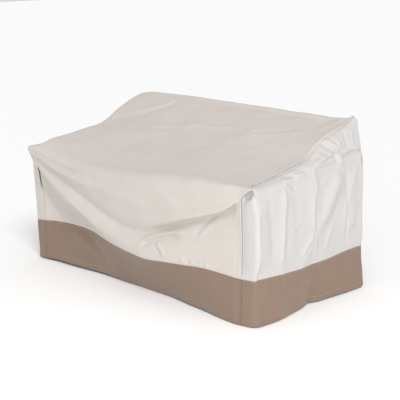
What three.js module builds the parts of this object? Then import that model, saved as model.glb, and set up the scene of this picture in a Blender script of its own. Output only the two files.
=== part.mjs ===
// Fitted outdoor cover for a two-seat sofa, in the shape in which it hangs over arms and backrest.
// Millimetres. X runs along the sofa, Y towards its back, Z up.
// The cover is laid out with z = 0 at the hem's level and the footprint centred on x = y = 0.
// At the end the whole group is moved so that the origin lies under the top, on the backrest.
import * as THREE from "three";

// ---- driving dimensions ----
const HALF_LENGTH = 735; // footprint, 1470 long
const HALF_DEPTH = 341; // and 682 deep
const CLOTH = 2; // thickness of the coated cloth
const SEAM_GAP = 0.3; // clearance between two sewn pieces
const SEAM_X_FRONT = 672; // the side seams run this far from the middle on front and back
const SEAM_X_TOP = 686; // and this far on the top
const LEDGE = 588; // height of the arm's level on the wall, above it the wall leans in
const POST_INSET = 33; // how far the backrest's top corner stands in from the wall
const POST_TOP = 728; // height of that corner
const BACK_HEM = -4; // height of the hem on the back
const BACK_SEAM = 174; // and of the skirt seam there
const CORNER = { hem: 24, seam: 11, wall: 13 }; // radius of the upright corners at three heights
const SOFT_CORNER = { hem: 44, seam: 18, wall: 24 }; // and of the slack corner, front right
const CORNER_ROUND = 13; // radius of the wall's upper border
// Half the turn over the brow: small at the sides, wide inboard of x = from. The rest are shares:
// foot is how far out it starts, from belly to brow, and of the turn its corner stands up and over,
// and it runs back.
const BROW = { end: 15, middle: 36, from: 380, foot: 0.6, up: 0.2, over: 0.1, back: 1.25 };
const RIDGE = { turn: 26, over: 1, up: 4 }; // half the turn over the ridge, and its corner point
const EDGE_TURN = 24; // half the same turns along the wall's upper border
const EDGE_FRONT = { over: 3, up: 5 }; // and their corner points, at the front
const EDGE_BACK = { over: 1, up: 3 }; // and at the back
const WALL_RISE = 120; // the upright corners reach their wall radius this far above the skirt seam
const MIDDLE = 250; // as far out as this the top hangs free of the side seams
const TOP_SAG = 12; // the top hangs this much between brow and ridge
const SEAM_FLARE = { out: 19, rows: 1.7 }; // the side seams swing out where they round the brow
const SIDE_SEAM_RISE = 8; // the skirt seam arches this much along the sides
const FOLD_END = 0.11; // share of its length over which a fold fades at each end
const WALL_FADE = { upright: 0.08, top: 0.06 }; // shares of a wall over which its folds fade to its border
const SUPPORT = { x: 0, y: 300, z: 728 }; // where the backrest carries the cover

// ---- corners of the top that stand out as soft points: direction and how far each one reaches ----
const ears = [
  { x: -735, y: -341, z: 540, pullX: -20, pullY: -15, pullZ: 8, reach: 46 },
  { x: 735, y: -341, z: 541, pullX: 5, pullY: -4, pullZ: 2, reach: 40 },
  { x: 700, y: 341, z: 728, pullX: 6, pullY: 6, pullZ: 9, reach: 36 },
  { x: -700, y: 341, z: 740, pullX: -4, pullY: 4, pullZ: 4, reach: 36 },
];

// ---- grid ----
const COLUMNS = 28; // across the centre panel
const TOP_ROWS = 13; // from brow to ridge
const STRIP = [0.28, 0.5, 0.67, 0.83, 1]; // steps across the strip that wraps an edge
const SEAM_ROW = 3; // row that is the skirt seam

// ---- the front, one row for each section along x ----
// out is how far the cloth stands forward of the footprint, z its height:
// hem and skirt seam, the foot and the edge of the slanting roll, the roll itself,
// the valley under the hanging belly, the belly's lip, the belly, and the brow over it.
const frontSections = [
  { x: -735, hemOut: 3, hemZ: -3, seamOut: 0, seamZ: 184, footOut: 0, footZ: 372, edgeOut: 1, edgeZ: 436,
    rollOut: 1, valleyOut: 0, valleyZ: 478, lipOut: 0, lipZ: 490, bellyOut: 0, browOut: 0, browZ: 540 },
  { x: -672, hemOut: -2, hemZ: -3, seamOut: -6, seamZ: 187, footOut: -10, footZ: 334, edgeOut: 5, edgeZ: 444,
    rollOut: 9, valleyOut: 1, valleyZ: 468, lipOut: 3, lipZ: 480, bellyOut: 3, browOut: 0, browZ: 530 },
  { x: -600, hemOut: -8, hemZ: 0, seamOut: -22, seamZ: 192, footOut: -25, footZ: 268, edgeOut: 15, edgeZ: 402,
    rollOut: 22, valleyOut: 3, valleyZ: 446, lipOut: 8, lipZ: 458, bellyOut: 6, browOut: 2, browZ: 517 },
  { x: -520, hemOut: -12, hemZ: 1, seamOut: -31, seamZ: 194, footOut: -35, footZ: 222, edgeOut: 22, edgeZ: 352,
    rollOut: 31, valleyOut: 7, valleyZ: 425, lipOut: 14, lipZ: 440, bellyOut: 10, browOut: 3, browZ: 510 },
  { x: -444, hemOut: -15, hemZ: 0, seamOut: -34, seamZ: 194, footOut: -31, footZ: 218, edgeOut: 28, edgeZ: 314,
    rollOut: 37, valleyOut: 10, valleyZ: 403, lipOut: 18, lipZ: 420, bellyOut: 14, browOut: 4, browZ: 505 },
  { x: -312, hemOut: -27, hemZ: -2, seamOut: -20, seamZ: 193, footOut: -7, footZ: 222, edgeOut: 34, edgeZ: 277,
    rollOut: 43, valleyOut: 14, valleyZ: 358, lipOut: 23, lipZ: 377, bellyOut: 18, browOut: 6, browZ: 501 },
  { x: -173, hemOut: -30, hemZ: -3, seamOut: 15, seamZ: 184, footOut: 26, footZ: 200, edgeOut: 39, edgeZ: 228,
    rollOut: 46, valleyOut: 18, valleyZ: 320, lipOut: 26, lipZ: 338, bellyOut: 22, browOut: 8, browZ: 500 },
  { x: -50, hemOut: -30, hemZ: -7, seamOut: 36, seamZ: 176, footOut: 40, footZ: 186, edgeOut: 43, edgeZ: 202,
    rollOut: 45, valleyOut: 20, valleyZ: 301, lipOut: 27, lipZ: 318, bellyOut: 24, browOut: 9, browZ: 504 },
  { x: 60, hemOut: -31, hemZ: -9, seamOut: 47, seamZ: 169, footOut: 46, footZ: 185, edgeOut: 45, edgeZ: 204,
    rollOut: 40, valleyOut: 19, valleyZ: 296, lipOut: 27, lipZ: 314, bellyOut: 25, browOut: 9, browZ: 511 },
  { x: 150, hemOut: -30, hemZ: -7, seamOut: 51, seamZ: 165, footOut: 48, footZ: 186, edgeOut: 44, edgeZ: 212,
    rollOut: 35, valleyOut: 14, valleyZ: 297, lipOut: 28, lipZ: 321, bellyOut: 25, browOut: 8, browZ: 520 },
  { x: 235, hemOut: -24, hemZ: -5, seamOut: 45, seamZ: 171, footOut: 41, footZ: 196, edgeOut: 36, edgeZ: 226,
    rollOut: 25, valleyOut: 8, valleyZ: 317, lipOut: 29, lipZ: 342, bellyOut: 24, browOut: 6, browZ: 528 },
  { x: 350, hemOut: -10, hemZ: -5, seamOut: 34, seamZ: 177, footOut: 28, footZ: 208, edgeOut: 21, edgeZ: 246,
    rollOut: 12, valleyOut: 0, valleyZ: 353, lipOut: 28, lipZ: 376, bellyOut: 22, browOut: 4, browZ: 535 },
  { x: 467, hemOut: 4, hemZ: -4, seamOut: 20, seamZ: 182, footOut: 15, footZ: 222, edgeOut: 9, edgeZ: 264,
    rollOut: 4, valleyOut: -3, valleyZ: 391, lipOut: 24, lipZ: 412, bellyOut: 17, browOut: 3, browZ: 540 },
  { x: 570, hemOut: 18, hemZ: -8, seamOut: 12, seamZ: 179, footOut: 8, footZ: 234, edgeOut: 4, edgeZ: 288,
    rollOut: 1, valleyOut: -3, valleyZ: 429, lipOut: 18, lipZ: 447, bellyOut: 12, browOut: 2, browZ: 543 },
  { x: 640, hemOut: 21, hemZ: -10, seamOut: 12, seamZ: 176, footOut: 6, footZ: 244, edgeOut: 2, edgeZ: 308,
    rollOut: 0, valleyOut: -1, valleyZ: 468, lipOut: 9, lipZ: 480, bellyOut: 7, browOut: 0, browZ: 544 },
  { x: 672, hemOut: 16, hemZ: -10, seamOut: 8, seamZ: 176, footOut: 4, footZ: 248, edgeOut: 1, edgeZ: 316,
    rollOut: 0, valleyOut: 0, valleyZ: 478, lipOut: 4, lipZ: 490, bellyOut: 4, browOut: 0, browZ: 543 },
  { x: 735, hemOut: 6, hemZ: -10, seamOut: 0, seamZ: 177, footOut: 0, footZ: 250, edgeOut: 0, edgeZ: 320,
    rollOut: 0, valleyOut: 0, valleyZ: 480, lipOut: 0, lipZ: 492, bellyOut: 0, browOut: 0, browZ: 541 },
];

// ---- the ridge over the backrest ----
const ridgeSections = [
  { x: -735, z: 748 },
  { x: -640, z: 760 },
  { x: -560, z: 763 },
  { x: -370, z: 760 },
  { x: -42, z: 749 },
  { x: 255, z: 738 },
  { x: 525, z: 728 },
  { x: 640, z: 727 },
  { x: 735, z: 738 },
];

// ---- the side seams over the top, and the arm's outer edge beside them ----
const sideSections = [
  { y: -341, leftSeam: 541, rightSeam: 541, leftEdge: 540, rightEdge: 541 },
  { y: -282, leftSeam: 566, rightSeam: 545, leftEdge: 545, rightEdge: 540 },
  { y: -191, leftSeam: 580, rightSeam: 555, leftEdge: 552, rightEdge: 536 },
  { y: -98, leftSeam: 595, rightSeam: 572, leftEdge: 558, rightEdge: 543 },
  { y: 0, leftSeam: 609, rightSeam: 593, leftEdge: 572, rightEdge: 571 },
  { y: 56, leftSeam: 616, rightSeam: 618, leftEdge: 585, rightEdge: 588 },
  { y: 110, leftSeam: 634, rightSeam: 648, leftEdge: 600, rightEdge: 602 },
  { y: 160, leftSeam: 664, rightSeam: 668, leftEdge: 624, rightEdge: 624 },
  { y: 211, leftSeam: 689, rightSeam: 683, leftEdge: 654, rightEdge: 655 },
  { y: 288, leftSeam: 723, rightSeam: 708, leftEdge: 695, rightEdge: 693 },
  { y: 341, leftSeam: 742, rightSeam: 726, leftEdge: 716, rightEdge: 712 },
];

// ---- the hem along the two sides ----
const sideHem = [
  { y: -341, rightOut: 8, rightZ: -9, leftOut: 4, leftZ: 0 },
  { y: -220, rightOut: 17, rightZ: -8, leftOut: 12, leftZ: -3 },
  { y: -133, rightOut: 6, rightZ: -6, leftOut: 4, leftZ: -2 },
  { y: -60, rightOut: -6, rightZ: -9, leftOut: -8, leftZ: 0 },
  { y: 0, rightOut: -24, rightZ: -6, leftOut: -6, leftZ: 1 },
  { y: 50, rightOut: -8, rightZ: -8, leftOut: 6, leftZ: 0 },
  { y: 124, rightOut: 2, rightZ: -5, leftOut: 14, leftZ: -3 },
  { y: 237, rightOut: 14, rightZ: -7, leftOut: 6, leftZ: -4 },
  { y: 341, rightOut: 16, rightZ: -12, leftOut: 3, leftZ: -4 },
];

// ---- soft folds: each runs over its face from a to b, with its height and half its width ----
// Side walls, a and b as [y, z].
const rightFolds = [
  { a: [-160, 525], b: [-188, 150], rise: 8, reach: 30 },
  { a: [6, 560], b: [22, 285], rise: 9, reach: 32 },
  { a: [22, 285], b: [-52, 175], rise: 7, reach: 28 },
  { a: [190, 530], b: [66, 310], rise: 11, reach: 38 },
  { a: [326, 515], b: [228, 235], rise: 8, reach: 34 },
  { a: [150, 600], b: [345, 590], rise: -7, reach: 18 },
  { a: [60, 622], b: [190, 560], rise: -10, reach: 36 },
];
const leftFolds = [
  { a: [-120, 530], b: [-150, 160], rise: 8, reach: 32 },
  { a: [60, 560], b: [30, 180], rise: 10, reach: 38 },
  { a: [250, 560], b: [170, 230], rise: 8, reach: 34 },
  { a: [150, 600], b: [345, 588], rise: -6, reach: 20 },
];
// The back, which hangs almost flat, a and b as [x, z].
const backFolds = [
  { a: [-430, 700], b: [-380, 0], rise: 8, reach: 60 },
  { a: [-90, 690], b: [-150, 0], rise: 6, reach: 70 },
  { a: [250, 690], b: [300, 0], rise: 8, reach: 55 },
  { a: [520, 690], b: [470, 0], rise: 5, reach: 50 },
];
// The top, a and b as [x, y].
const topFolds = [
  { a: [-560, 190], b: [150, 90], rise: 5, reach: 46 },
  { a: [-470, -40], b: [-180, -110], rise: -5, reach: 60 },
  { a: [-160, 200], b: [120, -20], rise: 5, reach: 44 },
  { a: [330, 40], b: [600, 180], rise: -5, reach: 55 },
];

// ---- the sewn edge that stands along each side seam ----
const WELT = 2.4; // thickness
const WELT_GAP = 0.5; // clearance under it
// along is the share of the seam's rows, counted from the front hem.
const weltSections = [
  { along: 0, rise: 4 },
  { along: 0.29, rise: 4.5 },
  { along: 0.33, rise: 14 },
  { along: 0.38, rise: 7 },
  { along: 0.5, rise: 6 },
  { along: 0.62, rise: 9 },
  { along: 0.66, rise: 14 },
  { along: 0.7, rise: 5 },
  { along: 1, rise: 4 },
];

const FINISH = {
  cream: { color: 0xd9d2c8, roughness: 0.86, metalness: 0 },
  white: { color: 0xe2dfdd, roughness: 0.84, metalness: 0 },
  taupe: { color: 0x94806f, roughness: 0.88, metalness: 0 },
};

const mix = THREE.MathUtils.lerp;
const clamp = THREE.MathUtils.clamp;
const smooth = THREE.MathUtils.smoothstep;

// A smooth curve through one named column of a table, along its key column.
function column(table, key, name) {
  const last = table.length - 1;
  const slope = (i) => {
    const a = table[Math.max(i - 1, 0)];
    const b = table[Math.min(i + 1, last)];
    return (b[name] - a[name]) / (b[key] - a[key]);
  };
  return (at) => {
    const k = clamp(at, table[0][key], table[last][key]);
    let i = 0;
    while (i < last - 1 && table[i + 1][key] < k) i++;
    const a = table[i];
    const b = table[i + 1];
    const span = b[key] - a[key];
    const t = (k - a[key]) / span;
    const t2 = t * t;
    const t3 = t2 * t;
    return (
      a[name] * (2 * t3 - 3 * t2 + 1) +
      b[name] * (3 * t2 - 2 * t3) +
      span * (slope(i) * (t3 - 2 * t2 + t) + slope(i + 1) * (t3 - t2))
    );
  };
}

const front = Object.fromEntries(
  Object.keys(frontSections[0]).slice(1).map((name) => [name, column(frontSections, "x", name)]),
);
const ridgeZ = column(ridgeSections, "x", "z");
const side = Object.fromEntries(
  Object.keys(sideSections[0]).slice(1).map((name) => [name, column(sideSections, "y", name)]),
);
const hem = Object.fromEntries(
  Object.keys(sideHem[0]).slice(1).map((name) => [name, column(sideHem, "y", name)]),
);
const weltRise = column(weltSections, "along", "rise");

// Height of a rounded fold at a point: it fades across its reach and towards its two ends.
function foldAt(folds, u, v) {
  let sum = 0;
  for (const { a, b, rise, reach } of folds) {
    const du = b[0] - a[0];
    const dv = b[1] - a[1];
    const length = Math.hypot(du, dv);
    const t = ((u - a[0]) * du + (v - a[1]) * dv) / (length * length);
    const away = Math.abs((u - a[0]) * dv - (v - a[1]) * du) / length;
    const ends = smooth(t, -FOLD_END, FOLD_END) * (1 - smooth(t, 1 - FOLD_END, 1 + FOLD_END));
    sum += rise * ends * Math.exp(-((away / reach) ** 2));
  }
  return sum;
}

// A quadratic turn from a, round the corner b, to c.
function turn(a, b, c, t) {
  const s = 1 - t;
  return a.map((v, k) => s * s * v + 2 * s * t * b[k] + t * t * c[k]);
}

// Height of the top between brow and ridge.
function topZ(x, y) {
  const w = (y + HALF_DEPTH) / (2 * HALF_DEPTH);
  const name = x < 0 ? "leftSeam" : "rightSeam";
  const seamX = Math.sign(x) * SEAM_X_TOP;
  const straight = mix(front.browZ(seamX), ridgeZ(seamX), w);
  const near = smooth(Math.abs(x), MIDDLE, SEAM_X_TOP);
  const sag = TOP_SAG * Math.sin(Math.PI * w) * (1 - near);
  const folds = foldAt(topFolds, x, y) * (1 - near);
  return mix(front.browZ(x), ridgeZ(x), w) + (side[name](y) - straight) * near - sag + folds;
}

// ---- rows: the cover from the front hem, over brow, top and ridge, to the back hem ----
// Stations of the front section at x, as [out, z].
const stations = {
  hem: (x) => [front.hemOut(x), front.hemZ(x)],
  seam: (x) => [front.seamOut(x), front.seamZ(x)],
  foot: (x) => [front.footOut(x), front.footZ(x)],
  edge: (x) => [front.edgeOut(x), front.edgeZ(x)],
  roll: (x) => [front.rollOut(x), mix(front.edgeZ(x), front.valleyZ(x), 0.32)],
  valley: (x) => [front.valleyOut(x), front.valleyZ(x)],
  lip: (x) => [front.lipOut(x), front.lipZ(x)],
  belly: (x) => [front.bellyOut(x), mix(front.lipZ(x), front.browZ(x) - browReach(x), 0.65)],
};
// Rows of the front: each is a station, or lies on the way from one to the next by its shares.
const frontRows = [
  { from: "hem" },
  { from: "hem", to: "seam", out: 0.3, up: 0.34 },
  { from: "hem", to: "seam", out: 0.66, up: 0.68 },
  { from: "seam" },
  { from: "foot" },
  { from: "foot", to: "edge", out: 0.62, up: 0.6 },
  { from: "edge" },
  { from: "roll" },
  { from: "roll", to: "valley", out: 0.45, up: 0.62 },
  { from: "valley" },
  { from: "lip" },
  { from: "lip", to: "belly", out: 0.5, up: 0.46 },
  { from: "belly" },
];
const BROW_STEPS = 2; // rows on each side of the middle of the brow's turn
const FRONT_ROWS = frontRows.length + BROW_STEPS; // up to the middle of the brow
const ROWS = 2 * FRONT_ROWS + TOP_ROWS;

function browReach(x) {
  return mix(BROW.middle, BROW.end, smooth(Math.abs(x), BROW.from, SEAM_X_TOP));
}

// Where the brow's turn leaves the front, its corner, and where it reaches the top.
function browTurn(x) {
  const reach = browReach(x);
  const out = front.browOut(x);
  const foot = mix(front.bellyOut(x), out, BROW.foot);
  const back = -HALF_DEPTH + BROW.back * reach;
  return [
    [-HALF_DEPTH - foot, front.browZ(x) - reach],
    [-HALF_DEPTH - out - BROW.over * reach, front.browZ(x) + BROW.up * reach],
    [back, topZ(x, back)],
  ];
}

// The same three points of the turn over the ridge.
function ridgeTurn(x) {
  const start = HALF_DEPTH - RIDGE.turn;
  return [
    [start, topZ(x, start)],
    [HALF_DEPTH + RIDGE.over, ridgeZ(x) + RIDGE.up],
    [HALF_DEPTH, ridgeZ(x) - RIDGE.turn],
  ];
}

// Place [y, z] of a row of the centre panel at x.
function sectionPoint(x, row) {
  const top = row - FRONT_ROWS;
  const down = ROWS - row;
  if (row < frontRows.length) {
    const { from, to = from, out = 0, up = 0 } = frontRows[row];
    const a = stations[from](x);
    const b = stations[to](x);
    return [-HALF_DEPTH - mix(a[0], b[0], out), mix(a[1], b[1], up)];
  }
  if (top <= BROW_STEPS) {
    return turn(...browTurn(x), (top + BROW_STEPS) / (2 * BROW_STEPS));
  }
  if (top < TOP_ROWS - BROW_STEPS) {
    const from = browTurn(x)[2][0];
    const to = ridgeTurn(x)[0][0];
    const y = mix(from, to, (top - BROW_STEPS) / (TOP_ROWS - 2 * BROW_STEPS));
    return [y, topZ(x, y)];
  }
  if (down >= frontRows.length) {
    return turn(...ridgeTurn(x), (top - TOP_ROWS + BROW_STEPS) / (2 * BROW_STEPS));
  }
  const z = backRowZ(ridgeZ(x) - RIDGE.turn, down);
  return [HALF_DEPTH + foldAt(backFolds, x, z), z];
}

// Height of a row on the back, counted up from the hem, below a turn that starts at crestZ.
function backRowZ(crestZ, up) {
  if (up <= SEAM_ROW) return mix(BACK_HEM, BACK_SEAM, up / SEAM_ROW);
  return mix(BACK_SEAM, crestZ, (up - SEAM_ROW) / (frontRows.length - SEAM_ROW));
}

// How far from the middle the side seams run at a row.
function seamX(row) {
  const up = smooth(row, frontRows.length - 2, FRONT_ROWS + 1);
  const down = smooth(ROWS - row, frontRows.length - 2, FRONT_ROWS + 1);
  const flare = SEAM_FLARE.out * Math.exp(-(((row - FRONT_ROWS) / SEAM_FLARE.rows) ** 2));
  return mix(SEAM_X_FRONT, SEAM_X_TOP, Math.min(up, down)) + flare;
}

// ---- the wrapped edges: sharp corner line and the line where the wall proper starts ----
function cornerRadius(z, y, hand) {
  const corner = hand > 0 && y < -HALF_DEPTH / 2 ? SOFT_CORNER : CORNER;
  if (z < BACK_SEAM) return mix(corner.hem, corner.seam, clamp(z / BACK_SEAM, 0, 1));
  return mix(corner.seam, corner.wall, clamp((z - BACK_SEAM) / WALL_RISE, 0, 1));
}

// How far out the flat side wall stands at a height.
function wallX(z) {
  return HALF_LENGTH - POST_INSET * clamp((z - LEDGE) / (POST_TOP - LEDGE), 0, 1.1);
}

// The sharp corner line [y, z] at a row, on the left (-1) or right (1) side.
function cornerLine(row, hand) {
  const x = hand * HALF_LENGTH;
  const edge = hand < 0 ? side.leftEdge : side.rightEdge;
  const top = row - FRONT_ROWS;
  if (row < frontRows.length) return sectionPoint(x, row);
  const y0 = -HALF_DEPTH + EDGE_TURN;
  const y1 = HALF_DEPTH - EDGE_TURN;
  const low = edge(-HALF_DEPTH);
  const high = edge(HALF_DEPTH);
  if (top <= BROW_STEPS) {
    const t = (top + BROW_STEPS) / (2 * BROW_STEPS);
    const corner = [-HALF_DEPTH - EDGE_FRONT.over, low + EDGE_FRONT.up];
    return turn([-HALF_DEPTH, low - EDGE_TURN], corner, [y0, edge(y0)], t);
  }
  if (top < TOP_ROWS - BROW_STEPS) {
    const y = mix(y0, y1, (top - BROW_STEPS) / (TOP_ROWS - 2 * BROW_STEPS));
    return [y, edge(y)];
  }
  if (ROWS - row >= frontRows.length) {
    const t = (top - TOP_ROWS + BROW_STEPS) / (2 * BROW_STEPS);
    const corner = [HALF_DEPTH + EDGE_BACK.over, high + EDGE_BACK.up];
    return turn([y1, edge(y1)], corner, [HALF_DEPTH, high - EDGE_TURN], t);
  }
  return [HALF_DEPTH, backRowZ(high - EDGE_TURN, ROWS - row)];
}

// The wall's own border: the corner line drawn in by the corner's radius.
function wallLine(row, hand) {
  const [y, z] = cornerLine(row, hand);
  const r = cornerRadius(z, y, hand);
  const edge = hand < 0 ? side.leftEdge : side.rightEdge;
  const onTop = smooth(row, frontRows.length - 1, FRONT_ROWS + 1);
  const onTopBack = smooth(ROWS - row, frontRows.length - 1, FRONT_ROWS + 1);
  const share = Math.min(onTop, onTopBack);
  const squeeze = (HALF_DEPTH - CORNER_ROUND) / HALF_DEPTH;
  const inY = row < FRONT_ROWS + TOP_ROWS / 2 ? y + r : y - r;
  const shrink = z > BACK_SEAM ? (z - BACK_SEAM) / (edge(y) - BACK_SEAM) : 0;
  return [mix(inY, y * squeeze, share), z - mix(shrink, 1, share) * CORNER_ROUND];
}

// A point of the wrapped strip, from the seam (share 0) to the wall's border (share 1).
function stripPoint(row, hand, share) {
  const [sy, sz] = sectionPoint(hand * seamX(row), row);
  const [ey, ez] = cornerLine(row, hand);
  const [wy, wz] = wallLine(row, hand);
  const seam = [hand * seamX(row), sy, sz];
  const bulge = wallOut(ey, ez, hand);
  const corner = [hand * (wallX(ez) + bulge), ey, ez];
  const wall = [hand * (wallX(wz) + bulge), wy, wz];
  const flat = Math.hypot(corner[0] - seam[0], corner[1] - seam[1], corner[2] - seam[2]);
  const bend = clamp(cornerRadius(ez, ey, hand) / flat, 0.1, 0.8);
  const start = seam.map((v, k) => mix(v, corner[k], 1 - bend));
  if (share <= 0.5) return seam.map((v, k) => mix(v, start[k], share * 2));
  return turn(start, corner, wall, share * 2 - 1);
}

// How far the side's hem and folds stand out of the wall.
function wallOut(y, z, hand) {
  const out = hand < 0 ? hem.leftOut(y) : hem.rightOut(y);
  const low = 1 - smooth(z, 0, BACK_SEAM * 1.05);
  return out * low;
}

// ---- the outer surface of the whole cover, as one welded grid ----
const points = [];
const quads = []; // { panel, corners }
const strip = STRIP.length;
const across = COLUMNS + 2 * strip;

const bodyIndex = [];
for (let row = 0; row <= ROWS; row++) {
  bodyIndex.push([]);
  for (let c = 0; c <= across; c++) {
    const left = strip - c;
    const right = c - strip - COLUMNS;
    let p;
    if (left > 0) p = stripPoint(row, -1, STRIP[left - 1]);
    else if (right > 0) p = stripPoint(row, 1, STRIP[right - 1]);
    else {
      const x = mix(-1, 1, (c - strip) / COLUMNS) * seamX(row);
      p = [x, ...sectionPoint(x, row)];
    }
    bodyIndex[row].push(points.push(new THREE.Vector3(...p)) - 1);
  }
}

for (let row = 0; row < ROWS; row++) {
  const skirt = row < SEAM_ROW || row >= ROWS - SEAM_ROW;
  const end = row < ROWS / 2 ? "front" : "back";
  for (let c = 0; c < across; c++) {
    const hand = c < strip ? "left" : c >= strip + COLUMNS ? "right" : "";
    let panel = hand ? "side_panel_" + hand : "centre_panel";
    if (skirt) panel = "skirt_" + (hand || end);
    const corners = [
      bodyIndex[row][c],
      bodyIndex[row][c + 1],
      bodyIndex[row + 1][c + 1],
      bodyIndex[row + 1][c],
    ];
    quads.push({ panel, corners });
  }
}

// One side wall: its front, back and top borders are the body's outermost column.
function addWall(hand) {
  const c = hand < 0 ? 0 : across;
  const name = hand < 0 ? "left" : "right";
  const folds = hand < 0 ? leftFolds : rightFolds;
  const hemZ = hand < 0 ? hem.leftZ : hem.rightZ;
  const frontLine = (b) => points[bodyIndex[b][c]];
  const backLine = (b) => points[bodyIndex[ROWS - b][c]];
  const topLine = (a) => points[bodyIndex[FRONT_ROWS + a][c]];
  const hemLine = (a) => {
    const y = mix(frontLine(0).y, backLine(0).y, a / TOP_ROWS);
    return new THREE.Vector3(hand * (HALF_LENGTH + wallOut(y, 0, hand)), y, hemZ(y));
  };
  const grid = [];
  for (let a = 0; a <= TOP_ROWS; a++) {
    grid.push([]);
    for (let b = 0; b <= FRONT_ROWS; b++) {
      if (a === 0) grid[a].push(bodyIndex[b][c]);
      else if (a === TOP_ROWS) grid[a].push(bodyIndex[ROWS - b][c]);
      else if (b === FRONT_ROWS) grid[a].push(bodyIndex[FRONT_ROWS + a][c]);
      else {
        const s = (topLine(a).y - topLine(0).y) / (topLine(TOP_ROWS).y - topLine(0).y);
        const t = (frontLine(b).z - frontLine(0).z) / (frontLine(FRONT_ROWS).z - frontLine(0).z);
        const hemPoint = hemLine(s * TOP_ROWS);
        const p = new THREE.Vector3()
          .addScaledVector(frontLine(b), 1 - s)
          .addScaledVector(backLine(b), s)
          .addScaledVector(hemPoint, 1 - t)
          .addScaledVector(topLine(a), t)
          .addScaledVector(frontLine(0), -(1 - s) * (1 - t))
          .addScaledVector(backLine(0), -s * (1 - t))
          .addScaledVector(frontLine(FRONT_ROWS), -(1 - s) * t)
          .addScaledVector(backLine(FRONT_ROWS), -s * t);
        if (b <= SEAM_ROW) p.z += SIDE_SEAM_RISE * Math.sin(Math.PI * s) * (b / SEAM_ROW);
        const inside = smooth(Math.min(s, 1 - s), 0, WALL_FADE.upright) * smooth(1 - t, 0, WALL_FADE.top);
        p.x = hand * (wallX(p.z) + wallOut(p.y, p.z, hand) + inside * foldAt(folds, p.y, p.z));
        grid[a].push(points.push(p) - 1);
      }
    }
  }
  for (let a = 0; a < TOP_ROWS; a++) {
    for (let b = 0; b < FRONT_ROWS; b++) {
      const corners = [grid[a][b], grid[a + 1][b], grid[a + 1][b + 1], grid[a][b + 1]];
      if (hand < 0) corners.reverse();
      quads.push({ panel: (b < SEAM_ROW ? "skirt_" : "side_panel_") + name, corners });
    }
  }
}
addWall(-1);
addWall(1);

for (const p of points) {
  for (const ear of ears) {
    const away = Math.hypot(p.x - ear.x, p.y - ear.y, p.z - ear.z) / ear.reach;
    const pull = Math.exp(-(away ** 2));
    p.x += ear.pullX * pull;
    p.y += ear.pullY * pull;
    p.z += ear.pullZ * pull;
  }
}

// Each quad becomes two triangles across its shorter diagonal.
const triangles = quads.flatMap(({ panel, corners: [a, b, c, d] }) => {
  const short = points[a].distanceTo(points[c]) <= points[b].distanceTo(points[d]);
  return short
    ? [{ panel, v: [a, b, c] }, { panel, v: [a, c, d] }]
    : [{ panel, v: [a, b, d] }, { panel, v: [b, c, d] }];
});

// Normals of the whole surface, shared by the pieces that meet at a seam.
const normals = points.map(() => new THREE.Vector3());
for (const { v: [a, b, c] } of triangles) {
  const ab = points[b].clone().sub(points[a]);
  const ac = points[c].clone().sub(points[a]);
  const n = ab.cross(ac);
  for (const i of [a, b, c]) normals[i].add(n);
}
normals.forEach((n) => n.normalize());

// Which pieces meet at each edge of the surface.
const panelsAtEdge = new Map();
for (const { panel, v } of triangles) {
  for (let k = 0; k < 3; k++) {
    const key = [v[k], v[(k + 1) % 3]].sort((p, q) => p - q).join();
    if (!panelsAtEdge.has(key)) panelsAtEdge.set(key, new Set());
    panelsAtEdge.get(key).add(panel);
  }
}

function geometryOf(vertices, faces) {
  return new THREE.BufferGeometry()
    .setAttribute("position", new THREE.Float32BufferAttribute(vertices.flatMap((p) => p.toArray()), 3))
    .setIndex(faces.flat());
}

// One cut piece of cloth: its share of the surface, drawn back from its seams, and given its thickness.
function clothPiece(panel) {
  const own = triangles.filter((t) => t.panel === panel).map((t) => t.v);
  const edges = own.flatMap(([a, b, c]) => [[a, b], [b, c], [c, a]]);
  const directed = new Set(edges.map((edge) => edge.join()));
  const rim = edges.filter(([a, b]) => !directed.has(b + "," + a));
  const inward = new Map();
  for (const [a, b] of rim) {
    const shared = panelsAtEdge.get([a, b].sort((p, q) => p - q).join()).size > 1;
    if (!shared) continue;
    const along = points[b].clone().sub(points[a]).normalize();
    for (const i of [a, b]) {
      const dir = normals[i].clone().cross(along).normalize();
      inward.set(i, [...(inward.get(i) || []), dir]);
    }
  }
  const number = new Map();
  const outer = [];
  const inner = [];
  for (const i of new Set(own.flat())) {
    const p = points[i].clone();
    const dirs = inward.get(i) || [];
    if (dirs.length) {
      const way = dirs.reduce((sum, d) => sum.add(d), new THREE.Vector3()).normalize();
      p.addScaledVector(way, SEAM_GAP / 2 / Math.max(way.dot(dirs[0]), 0.5));
    }
    number.set(i, outer.length);
    outer.push(p);
    inner.push(p.clone().addScaledVector(normals[i], -CLOTH));
  }
  const n = outer.length;
  const faces = own.map((t) => t.map((i) => number.get(i)));
  const innerFaces = faces.map(([a, b, c]) => [a + n, c + n, b + n]);
  const rimFaces = rim.flatMap(([a, b]) => {
    const [p, q] = [number.get(a), number.get(b)];
    if (a < b) return [[q, p, p + n], [q, p + n, q + n]];
    return [[q, p, q + n], [p, p + n, q + n]]; // the same diagonal as the neighbour's
  });
  return geometryOf([...outer, ...inner], [...faces, ...innerFaces, ...rimFaces]);
}

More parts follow.
